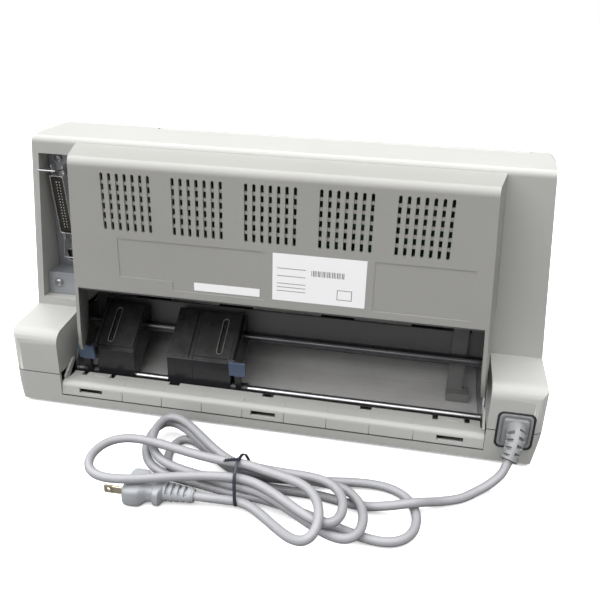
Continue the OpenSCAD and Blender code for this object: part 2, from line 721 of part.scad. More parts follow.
module print_head() {
  color([0.15, 0.15, 0.16]) {
    block(-head_w / 2, head_w / 2, -13.8, 9.8, shaft_z - 6, shaft_z + 16);
    block(-11, 11, -9, 5, path_z + 9, shaft_z - 6);
    block(-4, 4, -3, 3, path_z + 1.6, path_z + 9);
    // Cooling fins
    for (i = [0 : 5])
      block(-15, 15, -12 + 4 * i, -10.6 + 4 * i, shaft_z + 16, shaft_z + 21);
  }
}
knob_x = -31;
knob_y = 8;
knob_r = 3;
cartridge_z = shaft_z + 12;
cartridge_h = 14;
module ribbon_cartridge() {
  color([0.16, 0.16, 0.17]) difference() {
    union() {
      block(-43, 43, -44, -15, cartridge_z, cartridge_z + cartridge_h);
      for (x = [-43, 19])
        block(x, x + 24, -15, 28, cartridge_z, cartridge_z + cartridge_h);
    }
    translate([knob_x, knob_y, cartridge_z + 4]) cylinder(h = cartridge_h, r = knob_r + bore_gap);
  }
}
module ribbon_knob() {
  color([0.30, 0.38, 0.50]) translate([knob_x, knob_y, cartridge_z + 4.3]) {
    cylinder(h = cartridge_h - 3, r = knob_r);
    translate([0, 0, cartridge_h - 4.3 + seat_gap]) cylinder(h = 5, r = 9);
    translate([-8, -1.2, cartridge_h]) cube([16, 2.4, 4]);
  }
}
module pulley(x, bore) {
  translate([x, pulley_y, belt_z]) difference() {
    union() {
      translate([0, 0, -belt_h / 2 - 0.5]) cylinder(h = belt_h + 1, r = belt_r - 0.2);
      for (z = [-belt_h / 2 - 1.3, belt_h / 2 + 0.3])
        translate([0, 0, z]) cylinder(h = 1, r = belt_r + 1.6);
    }
    translate([0, 0, -6]) cylinder(h = 12, r = bore);
  }
}
// Driven by the motor, whose shaft it is made on
module drive_pulley() {
  color([0.75, 0.72, 0.62]) {
    pulley(-pulley_x, pin_step - 0.5);
    translate([-pulley_x, pulley_y, belt_z - belt_h / 2 - 1.3]) cylinder(h = roof_z + 9 - belt_z, r = pin_step);
  }
}
module idler_pulley() {
  color([0.75, 0.72, 0.62]) pulley(pulley_x, pin_step + bore_gap);
}
carriage_motor_r = 16;
module carriage_motor() {
  color([0.25, 0.25, 0.27]) difference() {
    union() {
      translate([-pulley_x, pulley_y, roof_z + roof_t]) cylinder(h = 28, r = carriage_motor_r);
      translate([-pulley_x, pulley_y, roof_z + roof_t + 28 - eps]) cylinder(h = 3, r = 6);
    }
    translate([-pulley_x, pulley_y, roof_z]) cylinder(h = 12, r = pin_step + bore_gap);
  }
}
module belt_loop(r, h) {
  for (s = [-1, 1])
    translate([s * pulley_x, pulley_y, belt_z - h / 2]) cylinder(h = h, r = r);
  block(-pulley_x, pulley_x, pulley_y - r, pulley_y + r, belt_z - h / 2, belt_z + h / 2);
}
module carriage_belt() {
  color([0.10, 0.10, 0.10]) difference() {
    belt_loop(belt_r + belt_t, belt_h);
    belt_loop(belt_r, belt_h + 2);
  }
}

// A spur gear drawn in the Y-Z plane, with one tooth along phase
module gear_at(y, z, n, phase) {
  r = tooth * n / PI;
  along_x(gear_x0, gear_x1) translate([y, z]) {
    for (i = [0 : n - 1])
      rotate([0, 0, phase + i * 360 / n])
        polygon([[r - 0.75 * tooth, -0.6 * tooth], [r + 0.5 * tooth, -0.2 * tooth], [r + 0.5 * tooth, 0.2 * tooth],
          [r - 0.75 * tooth, 0.6 * tooth]]);
    circle(r - 0.7 * tooth);
  }
}
// Phase of a gear that stands in direction a from a neighbour, so that its gap meets the neighbour's tooth
function meshed(a, phase, turn) = a + 180 - turn * (0.5 - (a - phase) / gear_turn);
front_phase = meshed(180, 0, gear_turn);
rear_phase = meshed(0, 0, gear_turn);
module roller(y, z) {
  for (x = [-roller_x, -roller_x / 3 - roller_w / 2, roller_x / 3 - roller_w / 2, roller_x - roller_w])
    rod_x(x, x + roller_w, y, z, roller_r);
}
module driven_roller(y, phase) {
  roller(y, feed_z);
  rod_x(gear_x0 - 1, frame_x + frame_t, y, feed_z, journal_r);
  gear_at(y, feed_z, gear_teeth, phase);
}
module pressing_roller(y) {
  roller(y, pinch_z);
  rod_x(-frame_x - frame_t, frame_x + frame_t, y, pinch_z, journal_r);
}
module front_feed_roller() {
  color([0.16, 0.16, 0.16]) driven_roller(-roller_pitch, front_phase);
}
module rear_feed_roller() {
  color([0.16, 0.16, 0.16]) driven_roller(roller_pitch, rear_phase);
}
module front_pinch_roller() {
  color([0.22, 0.22, 0.22]) pressing_roller(-roller_pitch);
}
module rear_pinch_roller() {
  color([0.22, 0.22, 0.22]) pressing_roller(roller_pitch);
}
// The platen's right end is the pin that the idler gear turns on
module platen() {
  color([0.14, 0.14, 0.14]) {
    rod_x(-roller_x - 6, roller_x + 6, 0, feed_z, roller_r);
    rod_x(gear_x0 - 2, frame_x + frame_t, 0, feed_z, journal_r);
  }
}
module idler_gear() {
  color([0.85, 0.84, 0.78]) difference() {
    gear_at(0, feed_z, gear_teeth, 0);
    rod_x(gear_x0 - 1, gear_x1 + 1, 0, feed_z, journal_r + bore_gap);
  }
}
module motor_pinion() {
  color([0.80, 0.72, 0.45]) {
    gear_at(pinion_y, pinion_z, gear_teeth / 2, meshed(-90, front_phase, 2 * gear_turn));
    rod_x(gear_x0 - 1, -frame_x + 10, pinion_y, pinion_z, pin_step);
  }
}
module feed_motor() {
  color([0.25, 0.25, 0.27]) difference() {
    rod_x(-frame_x, -frame_x + feed_motor_h, pinion_y, pinion_z, feed_motor_r);
    rod_x(-frame_x - 1, -frame_x + 12, pinion_y, pinion_z, pin_step + bore_gap);
  }
}

// ---- Rear paper path
module paper_floor() {
  color([0.66, 0.67, 0.68])
    along_x(-frame_x + seat_gap, frame_x - seat_gap)
      polygon([[floor_y1, floor_rear_z], [floor_y1, floor_rear_z + floor_t], [floor_y2, floor_crease_z + floor_t],
        [floor_y3, floor_front_z + floor_t], [floor_y3, floor_front_z], [floor_y2, floor_crease_z]]);
}
post_x = -frame_x + 15;
module rear_baffle() {
  tab = 14;
  color([0.20, 0.20, 0.21]) difference() {
    union() {
      // Wall behind the feed rollers
      block(-frame_x + seat_gap, frame_x - seat_gap, wall_y - 2, wall_y, wall_z, roof_z + eps);
      // Roof between the paper space and the boards
      difference() {
        block(-roof_w, roof_w, wall_y - 2, y_back - wall - seat_gap, roof_z, roof_z + roof_t);
        hood_trims(wall + seat_gap);
      }
      // Tabs over the belt's pulleys
      for (s = [-1, 1])
        block(s * pulley_x - tab, s * pulley_x + tab, pulley_y - 9, wall_y - 1, roof_z, roof_z + roof_t);
      translate([pulley_x, pulley_y, belt_z - belt_h / 2 - 2]) cylinder(h = roof_z - belt_z + 6, r = pin_step);
      // Post on the power side with its foot on the floor
      block(post_x, post_x + tab, wall_y - eps, wall_y + 6, floor_crease_z + floor_t + 1, roof_z + eps);
      block(post_x - 6, post_x + tab, wall_y + 1, wall_y + 16, floor_rear_z + floor_t, floor_rear_z + 9);
    }
    // Room for the walls of the interface recess
    along_y(wall_y - 3, y_wall) recess_outline(-2 - seat_gap);
    // Slot that the paper goes through, and the drive pulley's shaft
    block(-roller_x - 24, roller_x + 24, wall_y - 3, wall_y + 1, path_z + 1, path_z + 6.5);
    translate([-pulley_x, pulley_y, roof_z - 1]) cylinder(h = roof_t + 2, r = pin_step + bore_gap);
  }
}
module tractor_rod() {
  color([0.82, 0.82, 0.84]) rod_x(-frame_x - frame_t, frame_x + frame_t, rod_y, rod_z, rod_d / 2);
}
module tractor_shaft() {
  color([0.70, 0.71, 0.73]) {
    along_x(-frame_x + 2, frame_x - 2) translate([square_y, square_z]) square(square_s, center = true);
    rod_x(gear_x0 - 1, frame_x + frame_t, square_y, square_z, min(journal_r, square_r));
    gear_at(square_y, square_z, gear_teeth / 2, meshed(-mesh_a, rear_phase, 2 * gear_turn));
  }
}

// Push tractors: their decks rise towards the front
deck_y = rod_y + 4.5;
deck_z = rod_z + 25.5;
deck_a = 38;
deck_len = 52;
tractor_x = [frame_x - 56.6, 33];
support_w = 24;
support_x = tractor_x[1] + tractor_w + seat_gap;
flap_t = 2.4;
flap_pin = 1.2;
flap_lift = 2.7;
lever_w = 15;
lever_lap = 4;
slit_w = 4.5;
// A point on the deck's side view: s up the deck from its rear edge, h above it
function deck_point(s, h) = [deck_y - s * cos(deck_a) + h * sin(deck_a), deck_z + s * sin(deck_a) + h * cos(deck_a)];
tractor_low = rod_z - rod_d / 2 - 1.4;
function tractor_outline() = [
  [rod_y - 5, tractor_low], [deck_y, tractor_low], [deck_y, deck_z], deck_point(deck_len, 0),
  [wall_y + 3, deck_point(deck_len, 0)[1] - 5], [wall_y + 3, square_z - 13], [square_y + 4, square_z - 16],
  [rod_y - 11, rod_z + 2]];
function hollow_outline() = [
  [square_y + 9, tractor_low - 1], [rod_y - 9, tractor_low - 1], [rod_y - 7, rod_z + 14],
  [square_y + 14, square_z + 4], [square_y + 9, square_z - 4]];
// Frame of a deck: +Y runs down to its rear edge, +Z points out of it
module on_deck() {
  translate([0, deck_y, deck_z]) rotate([-deck_a, 0, 0]) children();
}
module along_deck(x, z, y0, y1, r) {
  translate([x, y1, z]) rotate([90, 0, 0]) cylinder(h = y1 - y0, r = r);
}
module tractor_block(x0, w) {
  difference() {
    along_x(x0, x0 + w) polygon(tractor_outline());
    rod_x(x0 - 1, x0 + w + 1, rod_y, rod_z, rod_d / 2 + bore_gap);
    rod_x(x0 - 1, x0 + w + 1, square_y, square_z, square_r + seat_gap);
    along_x(x0 + 4, x0 + w - 4) polygon(hollow_outline());
  }
}
// Places of a tractor's pieces; side is 1 where its lock lever is on the +X side
function hinge_at(i, side) = tractor_x[i] + tractor_w / 2 + side * (tractor_w / 2 - 3);
function pins_at(i, side) = tractor_x[i] + tractor_w / 2 + side * 4;
function lever_at(i, side) = tractor_x[i] + tractor_w / 2 + side * (tractor_w / 2 - lever_lap) - (side < 0 ? lever_w : 0);
module tractor_body(i, side) {
  hinge = hinge_at(i, side);
  pins = pins_at(i, side);
  lever = lever_at(i, side);
  color([0.11, 0.11, 0.12]) {
    difference() {
      union() {
        tractor_block(tractor_x[i], tractor_w);
        // Ears of the flap's hinge
        on_deck() for (y = [-3, -deck_len]) block(hinge - 3, hinge + 3, y, y + 3, -1, flap_lift + 2);
      }
      on_deck() {
        along_deck(hinge, flap_lift, -deck_len - 1, 1, flap_pin + bore_gap);
        block(pins - 3, pins + 3, -deck_len + 3, -4, -2, 1);
      }
      // Room for the lock lever
      block(lever - seat_gap, lever + lever_w + seat_gap, rod_y - 8, deck_y + 1, tractor_low - 1, deck_z - 5);
    }
    // Pin belt
    on_deck() {
      block(pins - 2.4, pins + 2.4, -deck_len + 4, -5, -2 - eps, -0.6);
      for (k = [0 : 2])
        translate([pins, -11 - k * 12.7, -1]) cylinder(h = 3, r = 1.4);
    }
  }
}
module flap(i, side) {
  hinge = hinge_at(i, side);
  pins = pins_at(i, side);
  free = tractor_x[i] + tractor_w / 2 - side * (tractor_w / 2 - 1);
  color([0.14, 0.14, 0.16]) on_deck() {
    difference() {
      union() {
        block(min(free, hinge), max(free, hinge), -deck_len + 4, -4, seat_gap, seat_gap + flap_t);
        along_deck(hinge, flap_lift, -deck_len + 4, -4, 2.3);
      }
      block(pins - slit_w / 2, pins + slit_w / 2, -deck_len + 9, -8, -1, 6);
    }
    along_deck(hinge, flap_lift, -deck_len + 1, -1, flap_pin);
  }
}
module lock_lever(i, side) {
  x0 = lever_at(i, side);
  color([0.27, 0.33, 0.45]) difference() {
    union() {
      rod_x(x0, x0 + lever_w, rod_y, rod_z, rod_d / 2 + 1.6);
      // Arm and tab
      along_x(x0 + lever_w / 2 - 2.5, x0 + lever_w / 2 + 2.5)
        polygon([[rod_y + 1, rod_z + 2], [rod_y + 4, rod_z - 1], [rod_y + 7.5, rod_z + 9], [rod_y + 9.2, rod_z + 19],
          [rod_y + 6.5, rod_z + 20], [rod_y + 4.6, rod_z + 10.5]]);
      along_x(x0, x0 + lever_w)
        polygon([[rod_y + 8.7, rod_z + 16.5], [rod_y + 11, rod_z + 30], [rod_y + 8.4, rod_z + 30.5],
          [rod_y + 6, rod_z + 17]]);
    }
    rod_x(x0 - 1, x0 + lever_w + 1, rod_y, rod_z, rod_d / 2 + bore_gap);
  }
}
module tractor_left() { tractor_body(0, 1); }
module tractor_right() { tractor_body(1, -1); }
module flap_left() { flap(0, 1); }
module flap_right() { flap(1, -1); }
module lock_lever_left() { lock_lever(0, 1); }
module lock_lever_right() { lock_lever(1, -1); }
module centre_support() {
  color([0.10, 0.10, 0.11]) {
    tractor_block(support_x, support_w);
    on_deck() block(support_x + 4, support_x + support_w - 4, -deck_len + 2, -2, -eps, 1.6);
  }
}

// ---- Boards and interfaces
board_t = 1.6;
board_z = roof_z + roof_t;
control_y = wall_y + 4;
power_y = y_back - 36;
module circuit_boards() {
  // Control board
  color([0.10, 0.32, 0.18]) block(-60, recess_in(recess_top) - 12, control_y, control_y + board_t, board_z, recess_top);
  color([0.15, 0.15, 0.15]) {
    block(-30, 0, control_y + board_t, control_y + 5, board_z + 40, board_z + 70);
    block(20, 44, control_y + board_t, control_y + 5, board_z + 30, board_z + 54);
    block(70, 110, control_y + board_t, control_y + 9, board_z + 16, board_z + 24);
  }
  // Power board
  color([0.55, 0.42, 0.22]) block(22.5 - hood_right, -20, power_y, power_y + board_t, board_z, hood_top - 14);
  color([0.20, 0.20, 0.20]) {
    translate([-50, power_y + board_t, board_z + 62]) rotate([-90, 0, 0]) cylinder(h = 22, r = 11);
    block(-132, -92, power_y + board_t, power_y + 24, board_z + 8, board_z + 42);
    block(-84, -72, power_y + board_t, power_y + 18, board_z + 40, board_z + 90);
  }
}
bracket_t = 1.2;
bracket_top_y = y_wall - 16;
bracket_low_y = y_wall - 32;
bracket_step_z = recess_low + 22;
bracket_step_y = y_wall - 9;
tilt_a = atan2(bracket_top_y - bracket_low_y, recess_top - bracket_step_z);
// Frame of the tilted interface plate: +Z runs up it, +Y points out of it
module on_bracket(x) {
  translate([x, bracket_low_y, bracket_step_z]) rotate([-tilt_a, 0, 0]) children();
}
interface_x = recess_in(recess_top) + 25.5;
socket_z0 = 40;
socket_z1 = 95;
socket_w = 12.8;
port_z = 14;
ear_out = 4.5;
ear_gap = 5.5;
bail_r = 0.8;
module interface_bracket() {
  low = recess_low + seat_gap;
  top = recess_top - seat_gap;
  color([0.66, 0.69, 0.73]) difference() {
    intersection() {
      along_x(100, 300) polygon([
        [bracket_low_y, bracket_step_z - bracket_t], [bracket_step_y - bracket_t, bracket_step_z - bracket_t],
        [bracket_step_y - bracket_t, low], [bracket_step_y, low], [bracket_step_y, bracket_step_z],
        [bracket_low_y + bracket_t, bracket_step_z], [bracket_top_y + bracket_t, top], [bracket_top_y, top]]);
      along_y(0, 200) recess_outline(seat_gap);
    }
    on_bracket(interface_x) {
      block(-socket_w / 2 - 0.1, socket_w / 2 + 0.1, -5, 5, socket_z0 - 1, socket_z1 + 1);
      block(-socket_w / 2 - 0.1, socket_w / 2 + 0.1, -5, 5, port_z - 6.5, port_z + 6.5);
    }
  }
  // Screws
  color([0.72, 0.73, 0.75]) {
    on_bracket(interface_x) for (z = [socket_z0 - 14, socket_z1 + 14])
      translate([0, bracket_t, z]) rotate([-90, 0, 0]) cylinder(h = 1.6, r = 3.2);
    translate([recess_in(recess_low) + 28.5, bracket_step_y - eps, recess_low + 12]) rotate([-90, 0, 0])
      cylinder(h = 1.8, r = 3.4);
  }
}
module socket_shell(z0, z1, back, out, inset) {
  difference() {
    block(-socket_w / 2, socket_w / 2, back, out, z0 - 0.9, z1 + 0.9);
    block(-socket_w / 2 + 0.8, socket_w / 2 - 0.8, back + inset, out + 1, z0, z1);
  }
}
module interface_connector() {
  color([0.75, 0.75, 0.77]) on_bracket(interface_x) {
    // Parallel socket and its tongue
    socket_shell(socket_z0, socket_z1, -4, 11, 5.5);
    block(-3, 3, 1, 9, socket_z0 + 3, socket_z1 - 3);
    // Ears of the bails
    for (z = [socket_z0 - ear_gap, socket_z1 + ear_gap], x = [-6, 4.6])
      difference() {
        block(x, x + 1.4, bracket_t + 0.1, 7, z - 4, z + 4);
        rod_x(x - 1, x + 3, ear_out, z, bail_r + bore_gap);
      }
    // Square port
    socket_shell(port_z - 5.5, port_z + 5.5, -4, 6, 3);
    block(-2.4, 2.4, -2, 4.5, port_z - 1.6, port_z + 1.6);
  }
}
// A wire bail whose legs point a degrees above the plate's outward direction
module bail(z, a, reach) {
  color([0.80, 0.80, 0.82]) on_bracket(interface_x) translate([0, ear_out, z]) rotate([a, 0, 0]) {
    for (m = [-1, 1]) {
      translate([m * 7.2, 0, 0]) rotate([-90, 0, 0]) cylinder(h = reach, r = bail_r);
      rod_x(m * 5.6 - 2.2, m * 5.6 + 2.2, 0, 0, bail_r);
    }
    rod_x(-7.9, 7.9, reach, 0, bail_r);
  }
}
module bail_upper() { bail(socket_z1 + ear_gap, 15, 20); }
module bail_lower() { bail(socket_z0 - ear_gap, -75, 22); }

// ---- Power inlet and cord
inlet_d = 26;
module inlet_outline(t) {
  rounded(inlet_w - 2 * t, inlet_h - 2 * t, 5 - t);
}
// An inlet outline extruded inwards from the plane y
module at_inlet(y, depth, t) {
  translate([inlet_x, y, inlet_z]) rotate([90, 0, 0]) linear_extrude(depth) inlet_outline(t);
}
module ac_inlet() {
  color([0.10, 0.10, 0.10]) difference() {
    at_inlet(y_back + 0.6, inlet_d, 0);
    at_inlet(y_back + 1, inlet_d - 2.4, 1);
  }
}

// A tube swept along points i0 to i1 of a route by rings of n sides; r is its radius at each end
function heading(p, i) = unit(p[min(i + 1, len(p) - 1)] - p[max(i - 1, 0)]);
function ring(c, t, r, n) = let (u = unit(cross(t, [0, 0, 1])), v = cross(u, t)) [
  for (k = [0 : n - 1]) let (a = (k + 0.5) * 360 / n) c + r * (cos(a) * u + sin(a) * v)
];
module tube(p, i0, i1, r, n) {
  m = i1 - i0 + 1;
  polyhedron(
    points = [for (i = [i0 : i1]) each ring(p[i], heading(p, i), r[0] + (r[1] - r[0]) * (i - i0) / (m - 1), n)],
    faces = concat(
      [[for (k = [n - 1 : -1 : 0]) k]],
      [for (i = [0 : m - 2], k = [0 : n - 1]) let (l = (k + 1) % n) each
        [[i * n + k, (i + 1) * n + l, (i + 1) * n + k], [i * n + k, i * n + l, (i + 1) * n + l]]],
      [[for (k = [0 : n - 1]) (m - 1) * n + k]]));
}
// A smooth curve through the points of a route, k rings to a span
function smooth(p, k) = [
  for (i = [0 : len(p) - 2], j = [0 : k - 1])
    let (t = j / k, a = p[max(i - 1, 0)], b = p[i], c = p[i + 1], d = p[min(i + 2, len(p) - 1)])
      b + (c - a) * t / 2 + (2 * a - 5 * b + 4 * c - d) * t * t / 2 + (3 * b - a - 3 * c + d) * t * t * t / 2,
  p[len(p) - 1]
];

// The cord leaves the strain relief at cord_route[relief_spans] and reaches the hank at its last point
cord_d = 7;
cord_r = cord_d / 2;
cord_route = [
  [-211.5, 139, 38], [-211, 147, 36], [-209, 155, 30.5], [-206, 162, 22.5], [-201, 169, 14], [-193, 175, 8],
  [-184, 181, 4.5], [-171, 192, 3.6], [-154, 202, 5.5], [-137, 214, 11.2], [-118, 219, 9], [-100, 219, 5],
  [-84, 216.5, 3.6], [-66, 213.5, 3.6], [-54, 213, 3.6], [-47, 213, 3.6], [-40, 213, 3.6]
];
relief_spans = 3;
rings_per_span = 3;
cord_sides = 8;
cord_line = smooth(cord_route, rings_per_span);
relief_rings = relief_spans * rings_per_span;

module cord_connector() {
  color([0.62, 0.62, 0.63]) {
    at_inlet(y_back + 1, inlet_d - 2.8, 1.5);
    at_inlet(y_back + 4, 4, 3.5);
    difference() {
      tube(cord_line, 0, relief_rings, [7.5, 4.6], 12);
      block(-300, 300, 0, y_back + 3.5, 0, 100);
    }
  }
}
module cord_free() {
  color([0.62, 0.62, 0.63])
    tube(cord_line, relief_rings, len(cord_line) - 1, [cord_r, cord_r], cord_sides);
}

// ---- Hank: its runs lie in lanes and rows where the tie draws them in
tie_x = -5;
tie_t = 2.2;
lane_y = 205;
lane_pitch = 7.9;
row_z = 6.4;
row_pitch = 7.6;
function lane(k, row) = [lane_y + k * lane_pitch, row_z + row * row_pitch];

// ---- Plug
plug_x = 27;
plug_y = 240;
plug_z = 8.6;
plug_h = 17;
blade_gap = 12.7;
module mains_plug() {
  color([0.60, 0.60, 0.61]) {
    // Ribbed relief
    rod_x(plug_x, plug_x + 24, plug_y, plug_z, 5);
    for (i = [0 : 3])
      rod_x(plug_x + 2 + i * 5.6, plug_x + 5.4 + i * 5.6, plug_y, plug_z, 6.6 + 0.3 * i);
    // Body with a drawn-in grip
    translate([0, plug_y, plug_z]) {
      along_x(plug_x + 23, plug_x + 29) rounded(24, plug_h - 2, 6);
      along_x(plug_x + 29 - eps, plug_x + 36) rounded(19, plug_h - 4, 5);
      along_x(plug_x + 36 - eps, plug_x + 50) rounded(30, plug_h, 6);
      along_x(plug_x + 50 - eps, plug_x + 53) rounded(27, plug_h - 3, 5);
    }
  }
  color([0.80, 0.72, 0.50])
    for (s = [-1, 1])
      difference() {
        block(plug_x + 52, plug_x + 70, plug_y + s * blade_gap / 2 - 0.75, plug_y + s * blade_gap / 2 + 0.75,
          plug_z - 3.2, plug_z + 3.2);
        translate([plug_x + 66, plug_y, plug_z]) rotate([90, 0, 0]) cylinder(h = 40, r = 1.5, center = true);
      }
}
function tie_outline() = let (c = cord_r + seat_gap) [
  lane(0, 0) + [-c, -c], lane(4, 0) + [c, -c], lane(4, 0) + [c, c], lane(3, 3) + [0, c], lane(1, 3) + [0, c],
  lane(0, 0) + [-c, c]
];
module cord_tie() {
  color([0.08, 0.09, 0.14]) along_x(tie_x - 1.2, tie_x + 1.2) difference() {
    polygon(shrink(tie_outline(), -tie_t));
    polygon(tie_outline());
  }
}

// Each loop: its side, the lanes it leaves and joins, reach, half width, lean, lift and twist
hank_loops = [
  [1, lane(1, 0), lane(0, 0), 72, 24, -0.36, -2.8, 0],
  [-1, lane(0, 0), lane(3, 0), 133, -30, 0.06, -2.8, 0],
  [1, lane(3, 0), lane(0.5, 1), 92, 28, -0.46, 0, 0],
  [-1, lane(0.5, 1), lane(3, 1), 95, -26, 0.28, -1, 0],
  [1, lane(3, 1), lane(1, 2), 86, 26, -0.5, 1.5, 0],
  [-1, lane(1, 2), lane(3, 2), 80, -22, 0.32, 0.5, 0],
  [1, lane(3, 2), lane(2, 3), 118, 26, 0.04, -1, 0],
  [-1, lane(2, 3), lane(4, 0), 66, -20, 0.62, 11, -1]
];
loop_rings = 24;
hank_sides = 6;
// Leans little near the tie and fully at the loop's end
function lean(a) = 1.3 * a * a / (a + 0.3);
function loop(l) = [
  for (i = [1 : loop_rings])
    let (t = i / loop_rings, a = sin(180 * t), e = (1 - cos(180 * t)) / 2, w = sin(360 * t) * a)
      [tie_x + l[0] * l[3] * a,
        l[1][0] + (l[2][0] - l[1][0]) * e + l[4] * w + l[5] * l[3] * lean(a),
        l[1][1] + (l[2][1] - l[1][1]) * e + l[6] * a * a + l[7] * w]
];
// A run from p to q along X that eases from one lane to the other
function run(p, q, n) = [
  for (i = [1 : n]) let (t = i / n, e = t * t * (3 - 2 * t)) [p[0] + (q[0] - p[0]) * t, p[1] + (q[1] - p[1]) * e,
    p[2] + (q[2] - p[2]) * e]
];
hank_start = cord_route[len(cord_route) - 1];
hank_in = hank_start + [cord_d, 0, 0];
plug_in = [plug_x - cord_d, plug_y, plug_z];
hank_line = concat(
  [hank_start, hank_in],
  run(hank_in, [tie_x, hank_loops[0][1][0], hank_loops[0][1][1]], 7),
  [for (l = hank_loops) each loop(l)],
  run([tie_x, lane(4, 0)[0], lane(4, 0)[1]], plug_in, 6),
  [plug_in + [cord_d, 0, 0]]);
// Least distance between points of the line that are more than skip places apart, less the diameter
function thirds(p) = [for (i = [0 : len(p) - 2], t = [0, 1 / 3, 2 / 3]) p[i] + (p[i + 1] - p[i]) * t];
function least_gap(p, skip) = min([
  for (i = [0 : len(p) - skip - 1]) min([for (j = [i + skip : len(p) - 1]) norm(p[i] - p[j])])
]) - cord_d;
module cord_hank() {
  echo(least_gap = least_gap(thirds(hank_line), 14));
  color([0.62, 0.62, 0.63]) tube(hank_line, 0, len(hank_line) - 1, [cord_r, cord_r], hank_sides);
}

lower_case();
rubber_feet();
upper_case();
rear_hood();
rear_sill();
comb_strip();
printer_cover();
cover_window();
paper_table();
edge_guide();
control_panel();
pause_button();
feed_button();
load_button();
power_rocker();
release_lever();
base_frame();
side_frame_left();
side_frame_right();
carriage_shaft();
guide_rail();
carriage();
print_head();
ribbon_cartridge();
ribbon_knob();
carriage_motor();
drive_pulley();
idler_pulley();
carriage_belt();
platen();
front_feed_roller();
rear_feed_roller();
front_pinch_roller();
rear_pinch_roller();
idler_gear();
motor_pinion();
feed_motor();
paper_floor();
rear_baffle();
tractor_rod();
tractor_shaft();
tractor_left();
tractor_right();
flap_left();
flap_right();
lock_lever_left();
lock_lever_right();
centre_support();
circuit_boards();
interface_bracket();
interface_connector();
bail_upper();
bail_lower();
ac_inlet();
cord_connector();
cord_free();
cord_hank();
cord_tie();
mains_plug();
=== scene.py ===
import bpy
import json
import math
from mathutils import Matrix, Vector


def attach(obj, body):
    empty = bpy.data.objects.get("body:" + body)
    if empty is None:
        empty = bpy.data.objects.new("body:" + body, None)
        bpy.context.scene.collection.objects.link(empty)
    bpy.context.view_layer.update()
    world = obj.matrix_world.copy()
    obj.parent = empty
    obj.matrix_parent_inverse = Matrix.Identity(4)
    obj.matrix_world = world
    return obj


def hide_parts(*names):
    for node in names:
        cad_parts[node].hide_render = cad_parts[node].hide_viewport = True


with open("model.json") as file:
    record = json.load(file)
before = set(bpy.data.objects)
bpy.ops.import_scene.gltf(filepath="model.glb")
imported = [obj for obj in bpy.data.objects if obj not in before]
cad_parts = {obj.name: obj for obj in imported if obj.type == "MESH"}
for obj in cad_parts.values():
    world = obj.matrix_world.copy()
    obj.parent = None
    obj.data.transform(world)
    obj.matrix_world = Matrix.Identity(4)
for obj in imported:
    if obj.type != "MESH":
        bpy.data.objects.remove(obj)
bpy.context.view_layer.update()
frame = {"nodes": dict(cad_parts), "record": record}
scene = bpy.context.scene
scene.view_settings.view_transform = "Standard"
mm = 0.001
print("frame loaded:", len(frame["nodes"]), "nodes")

# The camera stands where the photograph was taken from, behind the printer and above it
camera = dict(
    place=(-0.1198, 0.63953, 0.35962),
    right=(-0.98195, -0.18711, 0.02768),
    up=(0.10127, -0.39646, 0.91245),
    lens=42.01,
    sensor=36,
)


def addCamera():
    data = bpy.data.cameras.new("rearCamera")
    data.lens = camera["lens"]
    data.sensor_width = camera["sensor"]
    data.clip_start = 0.01
    data.clip_end = 30
    right = Vector(camera["right"]).normalized()
    back = right.cross(Vector(camera["up"])).normalized()
    turned = Matrix((right, back.cross(right), back)).transposed().to_4x4()
    eye = bpy.data.objects.new("rearCamera", data)
    scene.collection.objects.link(eye)
    eye.matrix_world = Matrix.Translation(camera["place"]) @ turned
    scene.camera = eye


addCamera()


# A smooth line through points, with so many steps to a span
def curveThrough(points, steps):
    line = []
    for i in range(len(points) - 1):
        a, b = points[max(i - 1, 0)], points[i]
        c, d = points[i + 1], points[min(i + 2, len(points) - 1)]
        for j in range(steps):
            t = j / steps
            line.append(b + (c - a) * t / 2 + (2 * a - 5 * b + 4 * c - d) * t * t / 2
                        + (3 * b - a - 3 * c + d) * t ** 3 / 2)
    return line + [points[-1]]


def lineLength(points):
    return sum((b - a).length for a, b in zip(points, points[1:]))


# Points at even distances along a line, from start to end, each with its heading
def walk(points, start, end, count):
    stops = []
    for k in range(count):
        want = start + (end - start) * k / (count - 1)
        for a, b in zip(points, points[1:]):
            step = (b - a).length
            if want <= step or b is points[-1]:
                stops.append((a + (b - a) * min(want / step, 1), (b - a).normalized()))
                break
            want -= step
    return stops


# A mesh object from a shape, which is points in millimetres and faces, with smooth sides
def addMesh(name, shape, material, body, sharp):
    points, faces = shape
    mesh = bpy.data.meshes.new(name)
    mesh.from_pydata([Vector(p) * mm for p in points], [], faces)
    mesh.validate()
    mesh.shade_smooth()
    mesh.set_sharp_from_angle(angle=math.radians(sharp))
    piece = bpy.data.objects.new(name, mesh)
    scene.collection.objects.link(piece)
    piece.data.materials.append(material)
    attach(piece, body)
    return piece


# Faces between rings of equal length, closed at both ends
def skin(rings, closed=False):
    n = len(rings[0])
    points = [p for ring in rings for p in ring]
    faces = []
    count = len(rings) if closed else len(rings) - 1
    for i in range(count):
        j = (i + 1) % len(rings)
        for k in range(n):
            l = (k + 1) % n
            faces.append((i * n + k, i * n + l, j * n + l, j * n + k))
    if not closed:
        faces.append(tuple(range(n))[::-1])
        faces.append(tuple((len(rings) - 1) * n + k for k in range(n)))
    return points, faces


# Several shapes put together as one
def gather(parts):
    points, faces = [], []
    for somePoints, someFaces in parts:
        start = len(points)
        points += somePoints
        faces += [tuple(start + i for i in face) for face in someFaces]
    return points, faces


